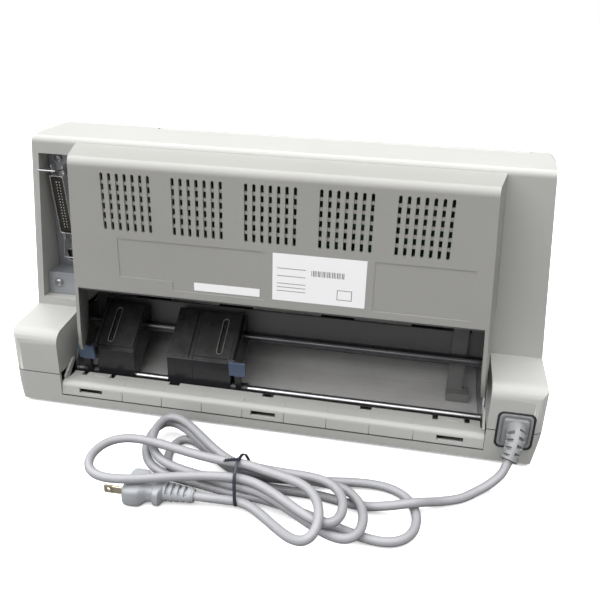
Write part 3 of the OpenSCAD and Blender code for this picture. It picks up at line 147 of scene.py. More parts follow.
# A rounded rectangle in two directions, as a ring round centre
def roundedRing(centre, across, along, width, height, radius, steps=5):
    ring = []
    for corner, (sx, sy) in enumerate(((1, 1), (-1, 1), (-1, -1), (1, -1))):
        for k in range(steps + 1):
            a = math.radians(90 * corner + 90 * k / steps)
            ring.append(centre + across * (sx * (width / 2 - radius) + radius * math.cos(a))
                        + along * (sy * (height / 2 - radius) + radius * math.sin(a)))
    return ring


# A ring between an ellipse, at power 2, and a rectangle
def superRing(centre, across, along, width, height, power, count=40):
    ring = []
    for k in range(count):
        a = 2 * math.pi * k / count
        c, s = math.cos(a), math.sin(a)
        ring.append(centre + across * (width / 2 * math.copysign(abs(c) ** (2 / power), c))
                    + along * (height / 2 * math.copysign(abs(s) ** (2 / power), s)))
    return ring


def circleRing(centre, across, along, radius, count=40):
    return superRing(centre, across, along, 2 * radius, 2 * radius, 2, count)


# A closed box with its low and high edges cut back
def chamferedBox(low, high, cut):
    x0, y0, z0 = low
    x1, y1, z1 = high
    rings = []
    for z, inset in ((z0, cut), (z0 + cut, 0), (z1 - cut, 0), (z1, cut)):
        rings.append([Vector(p) for p in (
            (x0 + inset, y0 + inset, z), (x1 - inset, y0 + inset, z),
            (x1 - inset, y1 - inset, z), (x0 + inset, y1 - inset, z))])
    return skin(rings)


# Materials: each shared effect is a group of nodes
def newGroup(name, inputs, outputs):
    group = bpy.data.node_groups.new(name, "ShaderNodeTree")
    for label, kind, value in inputs:
        socket = group.interface.new_socket(name=label, in_out="INPUT", socket_type=kind)
        socket.default_value = value
    for label, kind in outputs:
        group.interface.new_socket(name=label, in_out="OUTPUT", socket_type=kind)
    return group, group.nodes.new("NodeGroupInput"), group.nodes.new("NodeGroupOutput")


def addNode(tree, kind, **values):
    node = tree.nodes.new(kind)
    for key, value in values.items():
        if key.startswith("in_"):
            socket = node.inputs[key[3:]] if not key[3:].isdigit() else node.inputs[int(key[3:])]
            socket.default_value = value
        else:
            setattr(node, key, value)
    return node


def noiseAt(tree, where, scale, detail, rough):
    noise = addNode(tree, "ShaderNodeTexNoise", in_Detail=detail, in_Roughness=rough)
    tree.links.new(where, noise.inputs["Vector"])
    if isinstance(scale, (int, float)):
        noise.inputs["Scale"].default_value = scale
    else:
        tree.links.new(scale, noise.inputs["Scale"])
    return noise.outputs["Fac"]


def spread(tree, value, low, high, toLow=0.0, toHigh=1.0):
    node = addNode(tree, "ShaderNodeMapRange", in_1=low, in_2=high, in_3=toLow, in_4=toHigh)
    tree.links.new(value, node.inputs[0])
    return node.outputs[0]


def calc(tree, operation, a, b):
    node = addNode(tree, "ShaderNodeMath", operation=operation)
    for i, value in enumerate((a, b)):
        if isinstance(value, (int, float)):
            node.inputs[i].default_value = value
        else:
            tree.links.new(value, node.inputs[i])
    return node.outputs[0]


def blendColour(tree, mask, a, b):
    node = addNode(tree, "ShaderNodeMix", data_type="RGBA")
    for value, socket in ((mask, node.inputs[0]), (a, node.inputs[6]), (b, node.inputs[7])):
        if isinstance(value, (int, float)):
            socket.default_value = value
        elif isinstance(value, tuple):
            socket.default_value = (*value, 1)
        else:
            tree.links.new(value, socket)
    return node.outputs[2]


# Spark-eroded moulding: a fine grain, soft clouding and a slightly uneven sheen
def makeMouldedGrain():
    group, given, result = newGroup(
        "mouldedGrain",
        [("Colour", "NodeSocketColor", (0.5, 0.5, 0.5, 1)),
         ("Shade", "NodeSocketColor", (0.4, 0.4, 0.4, 1)),
         ("Grain Scale", "NodeSocketFloat", 1400), ("Clouding", "NodeSocketFloat", 0.5),
         ("Roughness", "NodeSocketFloat", 0.5)],
        [("Colour", "NodeSocketColor"), ("Roughness", "NodeSocketFloat"), ("Height", "NodeSocketFloat")])
    place = addNode(group, "ShaderNodeTexCoord").outputs["Object"]
    grain = noiseAt(group, place, given.outputs["Grain Scale"], 3, 0.6)
    cloud = noiseAt(group, place, 9.0, 4, 0.55)
    speck = spread(group, grain, 0.3, 0.7)
    clouded = calc(group, "MULTIPLY", spread(group, cloud, 0.35, 0.7), given.outputs["Clouding"])
    mask = calc(group, "ADD", clouded, calc(group, "MULTIPLY", speck, 0.22))
    group.links.new(blendColour(group, mask, given.outputs["Colour"], given.outputs["Shade"]),
                    result.inputs[0])
    uneven = calc(group, "ADD", given.outputs["Roughness"], spread(group, grain, 0.2, 0.8, -0.06, 0.06))
    group.links.new(uneven, result.inputs[1])
    group.links.new(grain, result.inputs[2])
    return group


# Rubbed corners and painted edge highlight: 1 along edges, broken up by noise; the paler edge colour is
# partly wear and partly painted highlight
def makeEdgeRubAndHighlight():
    group, given, result = newGroup(
        "edgeRubAndHighlight",
        [("Width", "NodeSocketFloat", 0.0008), ("Amount", "NodeSocketFloat", 0.5)],
        [("Mask", "NodeSocketFloat")])
    soft = addNode(group, "ShaderNodeBevel", samples=4)
    group.links.new(given.outputs["Width"], soft.inputs["Radius"])
    flat = addNode(group, "ShaderNodeNewGeometry")
    turn = addNode(group, "ShaderNodeVectorMath", operation="DOT_PRODUCT")
    group.links.new(soft.outputs[0], turn.inputs[0])
    group.links.new(flat.outputs["Normal"], turn.inputs[1])
    edge = spread(group, turn.outputs["Value"], 0.995, 0.82)
    place = addNode(group, "ShaderNodeTexCoord").outputs["Object"]
    broken = spread(group, noiseAt(group, place, 60.0, 4, 0.65), 0.35, 0.65)
    rubbedAndLitEdge = calc(group, "MULTIPLY", edge, broken)
    group.links.new(calc(group, "MULTIPLY", rubbedAndLitEdge, given.outputs["Amount"]), result.inputs[0])
    return group


# Fine dust that settles on what faces up
def makeSettledDust():
    group, given, result = newGroup(
        "settledDust", [("Amount", "NodeSocketFloat", 0.2)], [("Mask", "NodeSocketFloat")])
    flat = addNode(group, "ShaderNodeNewGeometry")
    parts = addNode(group, "ShaderNodeSeparateXYZ")
    group.links.new(flat.outputs["Normal"], parts.inputs[0])
    place = addNode(group, "ShaderNodeTexCoord").outputs["Object"]
    patchy = spread(group, noiseAt(group, place, 45.0, 5, 0.7), 0.3, 0.75)
    upward = spread(group, parts.outputs["Z"], 0.4, 0.95)
    settled = calc(group, "MULTIPLY", upward, patchy)
    group.links.new(calc(group, "MULTIPLY", settled, given.outputs["Amount"]), result.inputs[0])
    return group


# Rolled or brushed metal: long streaks along X and a few dull patches
def makeRolledStreaks():
    group, given, result = newGroup(
        "rolledStreaks",
        [("Colour", "NodeSocketColor", (0.5, 0.5, 0.5, 1)),
         ("Dull Colour", "NodeSocketColor", (0.4, 0.4, 0.4, 1)),
         ("Stretch", "NodeSocketFloat", 30), ("Roughness", "NodeSocketFloat", 0.3)],
        [("Colour", "NodeSocketColor"), ("Roughness", "NodeSocketFloat"), ("Height", "NodeSocketFloat")])
    place = addNode(group, "ShaderNodeTexCoord").outputs["Object"]
    long = addNode(group, "ShaderNodeMapping")
    long.inputs["Scale"].default_value = (1, 40, 40)
    group.links.new(place, long.inputs["Vector"])
    streak = noiseAt(group, long.outputs[0], given.outputs["Stretch"], 5, 0.6)
    patch = noiseAt(group, place, 22.0, 4, 0.6)
    mask = calc(group, "ADD", spread(group, streak, 0.3, 0.7, 0, 0.5),
                spread(group, patch, 0.4, 0.75, 0, 0.5))
    group.links.new(blendColour(group, mask, given.outputs["Colour"], given.outputs["Dull Colour"]),
                    result.inputs[0])
    group.links.new(calc(group, "ADD", given.outputs["Roughness"], spread(group, mask, 0, 1, -0.05, 0.14)),
                    result.inputs[1])
    group.links.new(streak, result.inputs[2])
    return group


mouldedGrain = makeMouldedGrain()
edgeRubAndHighlight = makeEdgeRubAndHighlight()
settledDust = makeSettledDust()
rolledStreaks = makeRolledStreaks()


def placeGroup(tree, group, **values):
    node = addNode(tree, "ShaderNodeGroup", node_tree=group)
    for key, value in values.items():
        label = key.replace("_", " ")
        node.inputs[label].default_value = (*value, 1) if isinstance(value, tuple) else value
    return node


def startMaterial(name):
    material = bpy.data.materials.new(name)
    material.use_nodes = True
    return material, material.node_tree, material.node_tree.nodes["Principled BSDF"]


def addHeight(tree, shader, height, strength, distance):
    bump = addNode(tree, "ShaderNodeBump", in_Strength=strength, in_Distance=distance)
    tree.links.new(height, bump.inputs["Height"])
    tree.links.new(bump.outputs[0], shader.inputs["Normal"])


wear = dict(
    rubAndHighlightWidth=0.0009,
    dustOnPlastic=(0.55, 0.54, 0.51),
    dustOnMetal=(0.42, 0.41, 0.39),
    plasticDepth=0.00012,
    metalDepth=0.0001,
    metalRelief=0.12,
    coatRoughness=0.16,
)


def addDust(tree, look, amount, colour):
    veil = placeGroup(tree, settledDust, Amount=amount)
    return blendColour(tree, veil.outputs[0], look, colour)


# A moulded plastic or rubber, with a paler colour along its edges that is partly wear and partly painted
# highlight
def moulded(name, colour, shade, roughness, grain=1400, clouding=0.5, relief=0.25, rub=0.0, rubbed=None,
            dust=0.0, gloss=0.5, coat=0.0):
    material, tree, shader = startMaterial(name)
    base = placeGroup(tree, mouldedGrain, Colour=colour, Shade=shade, Grain_Scale=grain, Clouding=clouding,
                      Roughness=roughness)
    look = base.outputs[0]
    # paler edges: partly wear, partly painted highlight
    if rub:
        edge = placeGroup(tree, edgeRubAndHighlight, Width=wear["rubAndHighlightWidth"], Amount=rub)
        paler = tuple(min(c * 1.5 + 0.03, 1) for c in colour)
        look = blendColour(tree, edge.outputs[0], look, rubbed or paler)
    if dust:
        look = addDust(tree, look, dust, wear["dustOnPlastic"])
    tree.links.new(look, shader.inputs["Base Color"])
    tree.links.new(base.outputs[1], shader.inputs["Roughness"])
    addHeight(tree, shader, base.outputs[2], relief, wear["plasticDepth"])
    shader.inputs["Specular IOR Level"].default_value = gloss
    if coat:
        shader.inputs["Coat Weight"].default_value = coat
        shader.inputs["Coat Roughness"].default_value = wear["coatRoughness"]
    return material


# A sheet or turned metal
def metal(name, colour, dull, roughness, stretch=30, shine=1.0, dust=0.0):
    material, tree, shader = startMaterial(name)
    base = placeGroup(tree, rolledStreaks, Colour=colour, Dull_Colour=dull, Stretch=stretch,
                      Roughness=roughness)
    look = base.outputs[0]
    if dust:
        look = addDust(tree, look, dust, wear["dustOnMetal"])
    tree.links.new(look, shader.inputs["Base Color"])
    tree.links.new(base.outputs[1], shader.inputs["Roughness"])
    addHeight(tree, shader, base.outputs[2], wear["metalRelief"], wear["metalDepth"])
    shader.inputs["Metallic"].default_value = shine
    return material


def smokedGlass():
    material, tree, shader = startMaterial("smokedWindow")
    base = placeGroup(tree, mouldedGrain, Colour=(0.10, 0.10, 0.105), Shade=(0.07, 0.07, 0.075),
                      Grain_Scale=600, Clouding=0.4, Roughness=0.08)
    tree.links.new(base.outputs[0], shader.inputs["Base Color"])
    tree.links.new(base.outputs[1], shader.inputs["Roughness"])
    shader.inputs["Transmission Weight"].default_value = 0.75
    shader.inputs["IOR"].default_value = 1.49
    shader.inputs["Specular IOR Level"].default_value = 0.28
    return material


# The circuit boards: dark green laminate with lighter round patches
def laminate():
    material, tree, shader = startMaterial("boardLaminate")
    place = addNode(tree, "ShaderNodeTexCoord").outputs["Object"]
    cells = addNode(tree, "ShaderNodeTexVoronoi", in_Scale=160.0)
    tree.links.new(place, cells.inputs["Vector"])
    trace = spread(tree, cells.outputs["Distance"], 0.3, 0.34)
    look = blendColour(tree, trace, (0.055, 0.20, 0.10), (0.03, 0.12, 0.065))
    tree.links.new(look, shader.inputs["Base Color"])
    shader.inputs["Roughness"].default_value = 0.35
    addHeight(tree, shader, trace, 0.2, 0.0001)
    return material


caseGrey, caseShade = (0.39, 0.39, 0.375), (0.355, 0.355, 0.34)
blue, blueShade, blueRubAndHighlight = (0.075, 0.105, 0.165), (0.06, 0.085, 0.14), (0.20, 0.25, 0.33)
finishes = dict(
    case_plastic=moulded("casePlastic", caseGrey, caseShade, 0.46, rub=0.25, dust=0.05, relief=0.22),
    # The hood is moulded in the case's grey; its colour is made darker as painted shade on its rear face
    hood_plastic=moulded("hoodPlasticPaintedShade", (0.30, 0.298, 0.284), (0.272, 0.27, 0.257), 0.48, rub=0.25,
                         relief=0.22),
    smoked_window=smokedGlass(),
    panel_grey=moulded("panelGrey", (0.20, 0.205, 0.21), (0.18, 0.185, 0.19), 0.38, clouding=0.3),
    button_grey=moulded("buttonGrey", (0.11, 0.12, 0.13), (0.095, 0.105, 0.115), 0.35, clouding=0.3,
                        rub=0.4),
    black_plastic=moulded("blackPlastic", (0.022, 0.022, 0.024), (0.03, 0.03, 0.032), 0.36, rub=0.3,
                          rubbed=(0.11, 0.11, 0.11), dust=0.06),
    blue_plastic=moulded("bluePlastic", blue, blueShade, 0.38, rub=0.45, rubbed=blueRubAndHighlight, dust=0.08),
    guide_plastic=moulded("guidePlastic", (0.06, 0.065, 0.07), (0.05, 0.055, 0.06), 0.4, rub=0.3),
    # the pale rims along the tractor lids' edges are painted highlight
    tractor_plastic=moulded("tractorPlastic", (0.014, 0.014, 0.016), (0.022, 0.022, 0.024), 0.24, rub=0.5,
                            rubbed=(0.10, 0.10, 0.105), dust=0.10),
    gear_plastic=moulded("gearPlastic", (0.40, 0.385, 0.33), (0.35, 0.335, 0.28), 0.42, rub=0.2),
    belt_rubber=moulded("beltRubber", (0.018, 0.018, 0.018), (0.03, 0.03, 0.03), 0.7, grain=900, gloss=0.3),
    foot_rubber=moulded("footRubber", (0.02, 0.02, 0.02), (0.04, 0.04, 0.038), 0.75, grain=700, gloss=0.3),
    frame_steel=metal("frameSteel", (0.52, 0.53, 0.54), (0.38, 0.385, 0.39), 0.36, dust=0.15),
    floor_steel=metal("floorSteel", (0.60, 0.595, 0.585), (0.46, 0.455, 0.45), 0.42, stretch=14, shine=0.15,
                      dust=0.1),
    baffle_steel=moulded("baffleSteel", (0.12, 0.12, 0.12), (0.15, 0.15, 0.147), 0.36, dust=0.15,
                         clouding=0.8),
    bright_steel=metal("brightSteel", (0.44, 0.44, 0.45), (0.32, 0.32, 0.33), 0.3, stretch=60),
    zinc_plate=metal("zincPlate", (0.36, 0.375, 0.40), (0.28, 0.29, 0.31), 0.36, stretch=18, shine=0.6),
    nickel_shell=metal("nickelShell", (0.70, 0.69, 0.67), (0.55, 0.54, 0.52), 0.24, stretch=40),
    motor_black=moulded("motorBlack", (0.035, 0.035, 0.038), (0.05, 0.05, 0.052), 0.36, rub=0.3),
    roller_rubber=moulded("rollerRubber", (0.03, 0.03, 0.031), (0.045, 0.045, 0.045), 0.62, grain=800,
                          gloss=0.35),
    pinion_brass=metal("pinionBrass", (0.72, 0.56, 0.26), (0.55, 0.42, 0.2), 0.28),
    board_green=laminate(),
    cord_grey=moulded("cordVinyl", (0.29, 0.29, 0.305), (0.26, 0.26, 0.275), 0.42, grain=500, clouding=0.3,
                      relief=0.12, coat=0.1),
    tie_black=moulded("tieSheath", (0.012, 0.013, 0.028), (0.02, 0.021, 0.035), 0.34, grain=900),
)
# and what only the added pieces wear
plugVinyl = moulded("plugVinyl", (0.31, 0.32, 0.335), (0.27, 0.28, 0.295), 0.42, grain=900, clouding=0.4,
                    relief=0.2, coat=0.1)
reliefVinyl = moulded("reliefVinyl", (0.215, 0.22, 0.225), (0.19, 0.195, 0.20), 0.40, grain=900,
                      clouding=0.4, relief=0.2, coat=0.12)
bladeBrass = metal("bladeBrass", (0.83, 0.77, 0.60), (0.70, 0.62, 0.42), 0.24, stretch=40)
insulatorBlack = moulded("insulatorBlack", (0.016, 0.014, 0.013), (0.028, 0.025, 0.022), 0.5)
contactTin = moulded("contactTin", (0.62, 0.60, 0.54), (0.50, 0.48, 0.42), 0.25, clouding=0.3)
labelPaper = moulded("labelPaper", (0.84, 0.83, 0.84), (0.80, 0.79, 0.80), 0.55, grain=2500, clouding=0.3,
                     relief=0.05)
ruleInk = moulded("ruleInk", (0.07, 0.07, 0.075), (0.12, 0.12, 0.12), 0.6, grain=2500)
linerPlastic = moulded("linerPlastic", (0.24, 0.23, 0.19), (0.17, 0.165, 0.14), 0.32, rub=0.3)
lampLens = moulded("lampLens", (0.10, 0.33, 0.12), (0.07, 0.25, 0.09), 0.18, coat=0.6)
print("materials made:", len(finishes))


# How much the edges of each solid are rounded, in millimetres
edgeRounds = dict(
    upper_case=1.1, lower_case=0.9, rear_hood=0.7, rear_sill=0.6, comb_strip=0.3, printer_cover=0.8,
    paper_table=0.4, edge_guide=0.5, control_panel=0.2, pause_button=0.7, feed_button=0.7, load_button=0.7,
    power_rocker=0.6, release_lever=0.8, tractor_left=0.5, tractor_right=0.5, centre_support=0.5,
    flap_left=0.4, flap_right=0.4, lock_lever_left=0.5, lock_lever_right=0.5, rubber_feet=0.4,
    interface_bracket=0.15, ribbon_cartridge=0.6, carriage=0.5, paper_floor=0.2, rear_baffle=0.25,
)


# A moulded material that is dark in bands; each is low and high in z, reach to both sides in x, least y
def bandedMaterial(name, colour, shade, roughness, dark, bands, **extra):
    material = moulded(name, colour, shade, roughness, **extra)
    tree = material.node_tree
    shader = tree.nodes["Principled BSDF"]
    look = shader.inputs["Base Color"].links[0].from_socket
    place = addNode(tree, "ShaderNodeSeparateXYZ")
    tree.links.new(addNode(tree, "ShaderNodeTexCoord").outputs["Object"], place.inputs[0])
    aside = calc(tree, "ABSOLUTE", place.outputs["X"], 0)
    for low, high, reach, rear in bands:
        over = calc(tree, "GREATER_THAN", place.outputs["Z"], low * mm)
        under = calc(tree, "LESS_THAN", place.outputs["Z"], high * mm)
        near = calc(tree, "LESS_THAN", aside, reach * mm)
        near = calc(tree, "MULTIPLY", near, calc(tree, "GREATER_THAN", place.outputs["Y"], rear * mm))
        band = calc(tree, "MULTIPLY", calc(tree, "MULTIPLY", over, under), near)
        look = blendColour(tree, band, look, dark)
    tree.links.new(look, shader.inputs["Base Color"])
    return material


# The lock levers have dark arms below their tabs, and the lower case has painted shade along its seam
# grooves
leverFinish = bandedMaterial("leverPlastic", blue, blueShade, 0.38, (0.018, 0.018, 0.02),
                             [(0, 37.4, 300, 0)], rub=0.3, rubbed=blueRubAndHighlight, dust=0.06)
nodeFinishes = dict(
    tractor_shaft=metal("blackenedSteel", (0.16, 0.16, 0.17), (0.09, 0.09, 0.095), 0.28),
    # painted shade: dark bands in the groove under the sill's edge and in the seam groove at the split
    lower_case=bandedMaterial("lowerCaseSeamShade", caseGrey, caseShade, 0.46, (0.05, 0.05, 0.05),
                              [(11.15, 12.05, 189.2, 120), (32.15, 33.1, 300, -200)],
                              rub=0.25, dust=0.05, relief=0.22),
    lock_lever_left=leverFinish,
    lock_lever_right=leverFinish,
)
rounding = dict(weld=0.00002, flatAngle=0.5, segments=2, edgeAngle=32, weight=80)


# Every solid of the frame gets its own or its slot's finish, and the listed ones soft edges
def dressFrame():
    slotOf = {part["node"]: part["material_slot"] for part in frame["record"]["subparts"]}
    for node, solid in frame["nodes"].items():
        solid.data.materials.clear()
        solid.data.materials.append(nodeFinishes.get(node, finishes[slotOf[node]]))
        if node in edgeRounds:
            weld = solid.modifiers.new("weld", "WELD")
            weld.merge_threshold = rounding["weld"]
            merge = solid.modifiers.new("mergeFlats", "DECIMATE")
            merge.decimate_type = "DISSOLVE"
            merge.angle_limit = math.radians(rounding["flatAngle"])
            soft = solid.modifiers.new("softEdges", "BEVEL")
            soft.width = edgeRounds[node] * mm
            soft.segments = rounding["segments"]
            soft.limit_method = "ANGLE"
            soft.angle_limit = math.radians(rounding["edgeAngle"])
            soft.use_clamp_overlap = True
            even = solid.modifiers.new("evenShading", "WEIGHTED_NORMAL")
            even.keep_sharp = False
            even.weight = rounding["weight"]


dressFrame()
print("frame dressed")

# The mains cord, from the strain relief to the plug: the free stretch, then the hank's eight loops.
# The numbers are those of part.scad, in millimetres.
cord = dict(
    diameter=7,
    length=2.1,
    route=[(-211.5, 139, 38), (-211, 147, 36), (-209, 155, 30.5), (-206, 162, 22.5), (-201, 169, 14),
           (-193, 175, 8), (-184, 181, 4.5), (-171, 192, 3.6), (-154, 202, 5.5), (-137, 214, 11.2),
           (-118, 219, 9), (-100, 219, 5), (-84, 216.5, 3.6), (-66, 213.5, 3.6), (-54, 213, 3.6),
           (-47, 213, 3.6), (-40, 213, 3.6)],
    reliefSpans=3,
    steps=3,
    smoothing=3,
    entrySteps=7,
    exitSteps=6,
    tieX=-5,
    lane=(205, 7.9),
    row=(6.4, 7.6),
    loopPoints=24,
    leanGain=1.3,
    leanEase=0.3,
    # side, lanes left and joined, reach, half width, lean, lift, twist
    loops=[(1, (1, 0), (0, 0), 72, 24, -0.36, -2.8, 0),
           (-1, (0, 0), (3, 0), 133, -30, 0.06, -2.8, 0),
           (1, (3, 0), (0.5, 1), 92, 28, -0.46, 0, 0),
           (-1, (0.5, 1), (3, 1), 95, -26, 0.28, -1, 0),
           (1, (3, 1), (1, 2), 86, 26, -0.5, 1.5, 0),
           (-1, (1, 2), (3, 2), 80, -22, 0.32, 0.5, 0),
           (1, (3, 2), (2, 3), 118, 26, 0.04, -1, 0),
           (-1, (2, 3), (4, 0), 66, -20, 0.62, 11, -1)],
    lastLane=(4, 0),
    plug=(27, 240, 8.6),
)


# The middle of a lane through the tie, across and up
def laneAt(k, row):
    return cord["lane"][0] + k * cord["lane"][1], cord["row"][0] + row * cord["row"][1]


# A run along X that eases across and up
def easedRun(p, q, count):
    run = []
    for i in range(1, count + 1):
        t = i / count
        e = t * t * (3 - 2 * t)
        run.append(Vector(p[k] + (q[k] - p[k]) * share for k, share in enumerate((t, e, e))))
    return run


def hankLoop(side, leave, join, reach, half, tilt, lift, twist):
    y0, z0 = laneAt(*leave)
    y1, z1 = laneAt(*join)
    loop = []
    for i in range(1, cord["loopPoints"] + 1):
        t = i / cord["loopPoints"]
        a = math.sin(math.pi * t)
        e = (1 - math.cos(math.pi * t)) / 2
        w = math.sin(2 * math.pi * t) * a
        loop.append(Vector((
            cord["tieX"] + side * reach * a,
            y0 + (y1 - y0) * e + half * w
            + tilt * reach * cord["leanGain"] * a * a / (a + cord["leanEase"]),
            z0 + (z1 - z0) * e + lift * a * a + twist * w)))
    return loop


def cordLines():
    route = curveThrough([Vector(p) for p in cord["route"]], cord["steps"])
    start = route[-1]
    entry = start + Vector((cord["diameter"], 0, 0))
    intoPlug = Vector(cord["plug"]) - Vector((cord["diameter"], 0, 0))
    hank = [entry] + easedRun(entry, (cord["tieX"], *laneAt(*cord["loops"][0][1])), cord["entrySteps"])
    for loop in cord["loops"]:
        hank += hankLoop(*loop)
    hank += easedRun((cord["tieX"], *laneAt(*cord["lastLane"])), intoPlug, cord["exitSteps"])
    hank.append(intoPlug + Vector((cord["diameter"], 0, 0)))
    reliefEnd = cord["reliefSpans"] * cord["steps"]
    return route[:reliefEnd + 1], route[reliefEnd:] + hank


reliefLine, cordLine = cordLines()


def addCord():
    line = curveThrough(cordLine, cord["smoothing"])
    data = bpy.data.curves.new("mainsCord", "CURVE")
    data.dimensions = "3D"
    data.twist_mode = "MINIMUM"
    data.bevel_depth = cord["diameter"] / 2 * mm
    data.bevel_resolution = 5
    data.use_fill_caps = True
    spline = data.splines.new("POLY")
    spline.points.add(len(line) - 1)
    for point, place in zip(spline.points, line):
        point.co = (*(place * mm), 1)
    spline.use_smooth = True
    sheath = bpy.data.objects.new("mainsCord", data)
    scene.collection.objects.link(sheath)
    data.materials.append(finishes["cord_grey"])
    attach(sheath, "case")
    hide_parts("cord_free", "cord_hank")
    print("cord of", round(lineLength(line) * mm, 3), "m")


# A ribbed relief: a tapered tube with short grooves, each a distance along it and a direction round it
def grooved(stops, radii, grooves, across, depth, halfLength, halfAngle):
    count = 72
    rings = []
    for k, (centre, heading) in enumerate(stops):
        share = k / (len(stops) - 1)
        side = (across - heading * across.dot(heading)).normalized()
        up = heading.cross(side)
        radius = radii[0] + (radii[1] - radii[0]) * share
        distance = share * lineLength([s[0] for s in stops])
        ring = []
        for j in range(count):
            angle = 2 * math.pi * j / count
            cut = 0
            for place, towards in grooves:
                away = abs((math.degrees(angle) - towards + 180) % 360 - 180)
                if abs(distance - place) < halfLength and away < halfAngle:
                    cut = depth
            ring.append(centre + (side * math.cos(angle) + up * math.sin(angle)) * (radius - cut))
        rings.append(ring)
    return rings


inlet = dict(
    x=-211.5,
    z=34,
    y=136,
    width=27,
    height=31,
    corner=4.2,
    leastCorner=1.6,
    # inset and place of each step, from the plate's buried back to its raised middle
    steps=[(0, -22), (0, 0.2), (0.25, 0.75), (0.8, 1.0), (2.0, 1.0), (2.4, 0.8), (2.6, 0.1), (3.4, 0.1),
           (3.5, 3.2), (3.8, 3.8), (4.4, 4.0), (7, 4.0)],
    radii=(8.1, 6.3),
    stops=110,
    # where each set of grooves begins, and its two directions in degrees
    grooveSets=[(6.5, (222, 42)), (9.2, (316, 136))],
    grooveStep=5.6,
    grooveCount=4,
    groove=dict(depth=2.6, halfLength=0.95, halfAngle=31),
    # place and radius along the collar that the cord comes out of
    collar=[(-2.2, 5.6), (-2.0, 6.9), (-0.4, 6.9), (0, 6.5), (0, 3.6)],
)


# The cord's connector in the inlet: a stepped plate, then the ribbed relief down to the cord
def addInletConnector():
    across, along = Vector((1, 0, 0)), Vector((0, 0, 1))
    rings = []
    for inset, y in inlet["steps"]:
        centre = Vector((inlet["x"], inlet["y"] + y, inlet["z"]))
        width, height = inlet["width"] - 2 * inset, inlet["height"] - 2 * inset
        corner = max(inlet["corner"] - inset * 0.6, inlet["leastCorner"])
        rings.append(roundedRing(centre, across, along, width, height, corner))
    plate = skin([ring[::-1] for ring in rings])
    stops = walk(reliefLine, 0.2, lineLength(reliefLine), inlet["stops"])
    grooves = [(first + inlet["grooveStep"] * i, towards) for first, both in inlet["grooveSets"]
               for i in range(inlet["grooveCount"]) for towards in both]
    neck = grooved(stops, inlet["radii"], grooves, across, **inlet["groove"])
    last, heading = stops[-1]
    side = (across - heading * across.dot(heading)).normalized()
    up = heading.cross(side)
    collar = [circleRing(last + heading * forward, side, up, radius) for forward, radius in inlet["collar"]]
    shape = gather([plate, skin(neck), skin(collar)])
    piece = addMesh("inletConnector", shape, reliefVinyl, "case", 35)
    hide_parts("cord_connector")


plug = dict(
    # distance from the plug's start, width, height, squareness
    sections=[(23.0, 13.5, 13.0, 2.2), (24.0, 18.5, 13.8, 3), (25.2, 23.4, 14.8, 4),
              (28.6, 24.0, 15.0, 4), (29.8, 22.6, 14.6, 4), (30.8, 18.6, 13.4, 3.6),
              (33.5, 18.2, 13.0, 3.6), (36.0, 20.0, 13.8, 3.8), (39.0, 26.6, 16.2, 4.4),
              (41.0, 29.4, 17.0, 4.6), (49.0, 30.0, 17.0, 4.8), (51.2, 29.0, 16.6, 4.8),
              (52.6, 26.4, 15.0, 4.6), (53.0, 22.0, 12.0, 4.4)],
    neck=[(0, 3.7), (0.2, 4.9), (0.8, 5.3), (2.4, 5.4)],
    relief=(2.0, 24.0),
    radii=(5.7, 7.4),
    stops=80,
    # first groove, step and count, on both sides
    grooves=(4.2, 4.7, 4),
    groove=dict(depth=2.0, halfLength=1.0, halfAngle=70),
    blade=dict(start=52, end=70, gap=12.7, height=6.4, thick=1.5, hole=1.5, holeFromTip=4, halfEnd=3.4,
               corner=4.6, shankEnd=2.9, cut=0.25),
)


def addPlug():
    x, y, z = cord["plug"]
    across, along = Vector((0, 1, 0)), Vector((0, 0, 1))
    rings = [superRing(Vector((x + s, y, z)), across, along, w, h, power)
             for s, w, h, power in plug["sections"]]
    start, end = plug["relief"]
    line = [Vector((x + start, y, z)), Vector((x + end, y, z))]
    stops = walk(line, 0, end - start, plug["stops"])
    first, step, count = plug["grooves"]
    grooves = [(first + step * i, towards) for towards in (90, 270) for i in range(count)]
    ribs = grooved(stops, plug["radii"], grooves, across, **plug["groove"])
    neck = [circleRing(Vector((x + s, y, z)), across, along, r) for s, r in plug["neck"]]
    shape = gather([skin(rings), skin(ribs), skin(neck)])
    bodyPiece = addMesh("plugBody", shape, plugVinyl, "case", 40)
    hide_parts("mains_plug")
    parts = [bladeWithHole(x, y + sign * plug["blade"]["gap"] / 2, z) for sign in (-1, 1)]
    blades = addMesh("plugBlades", gather(parts), bladeBrass, "case", 30)
    return bodyPiece, blades


# A flat blade in the X-Z plane with a round hole near its tip
def bladeWithHole(x, y, z):
    blade = plug["blade"]
    thick, height, hole = blade["thick"], blade["height"], blade["hole"]
    centre = x + blade["end"] - blade["holeFromTip"]
    count = 24
    turn = [(math.cos(2 * math.pi * k / count), math.sin(2 * math.pi * k / count)) for k in range(count)]
    points, faces = [], []
    for side in (-1, 1):
        level = y + side * thick / 2
        points += [(centre + hole * c, level, z + hole * s) for c, s in turn]
        for c, s in turn:
            reach = min(blade["halfEnd"] / max(abs(c), 1e-6), height / 2 / max(abs(s), 1e-6),
                        blade["corner"])
            points.append((centre + c * reach, level, z + s * reach))
    for k in range(count):
        l = (k + 1) % count
        faces.append((k, l, count + l, count + k))
        faces.append((2 * count + k, 3 * count + k, 3 * count + l, 2 * count + l))
        faces.append((k, 2 * count + k, 2 * count + l, l))
        faces.append((count + k, count + l, 3 * count + l, 3 * count + k))
    low = (x + blade["start"], y - thick / 2, z - height / 2)
    high = (centre - blade["shankEnd"], y + thick / 2, z + height / 2)
    return gather([(points, faces), chamferedBox(low, high, blade["cut"])])


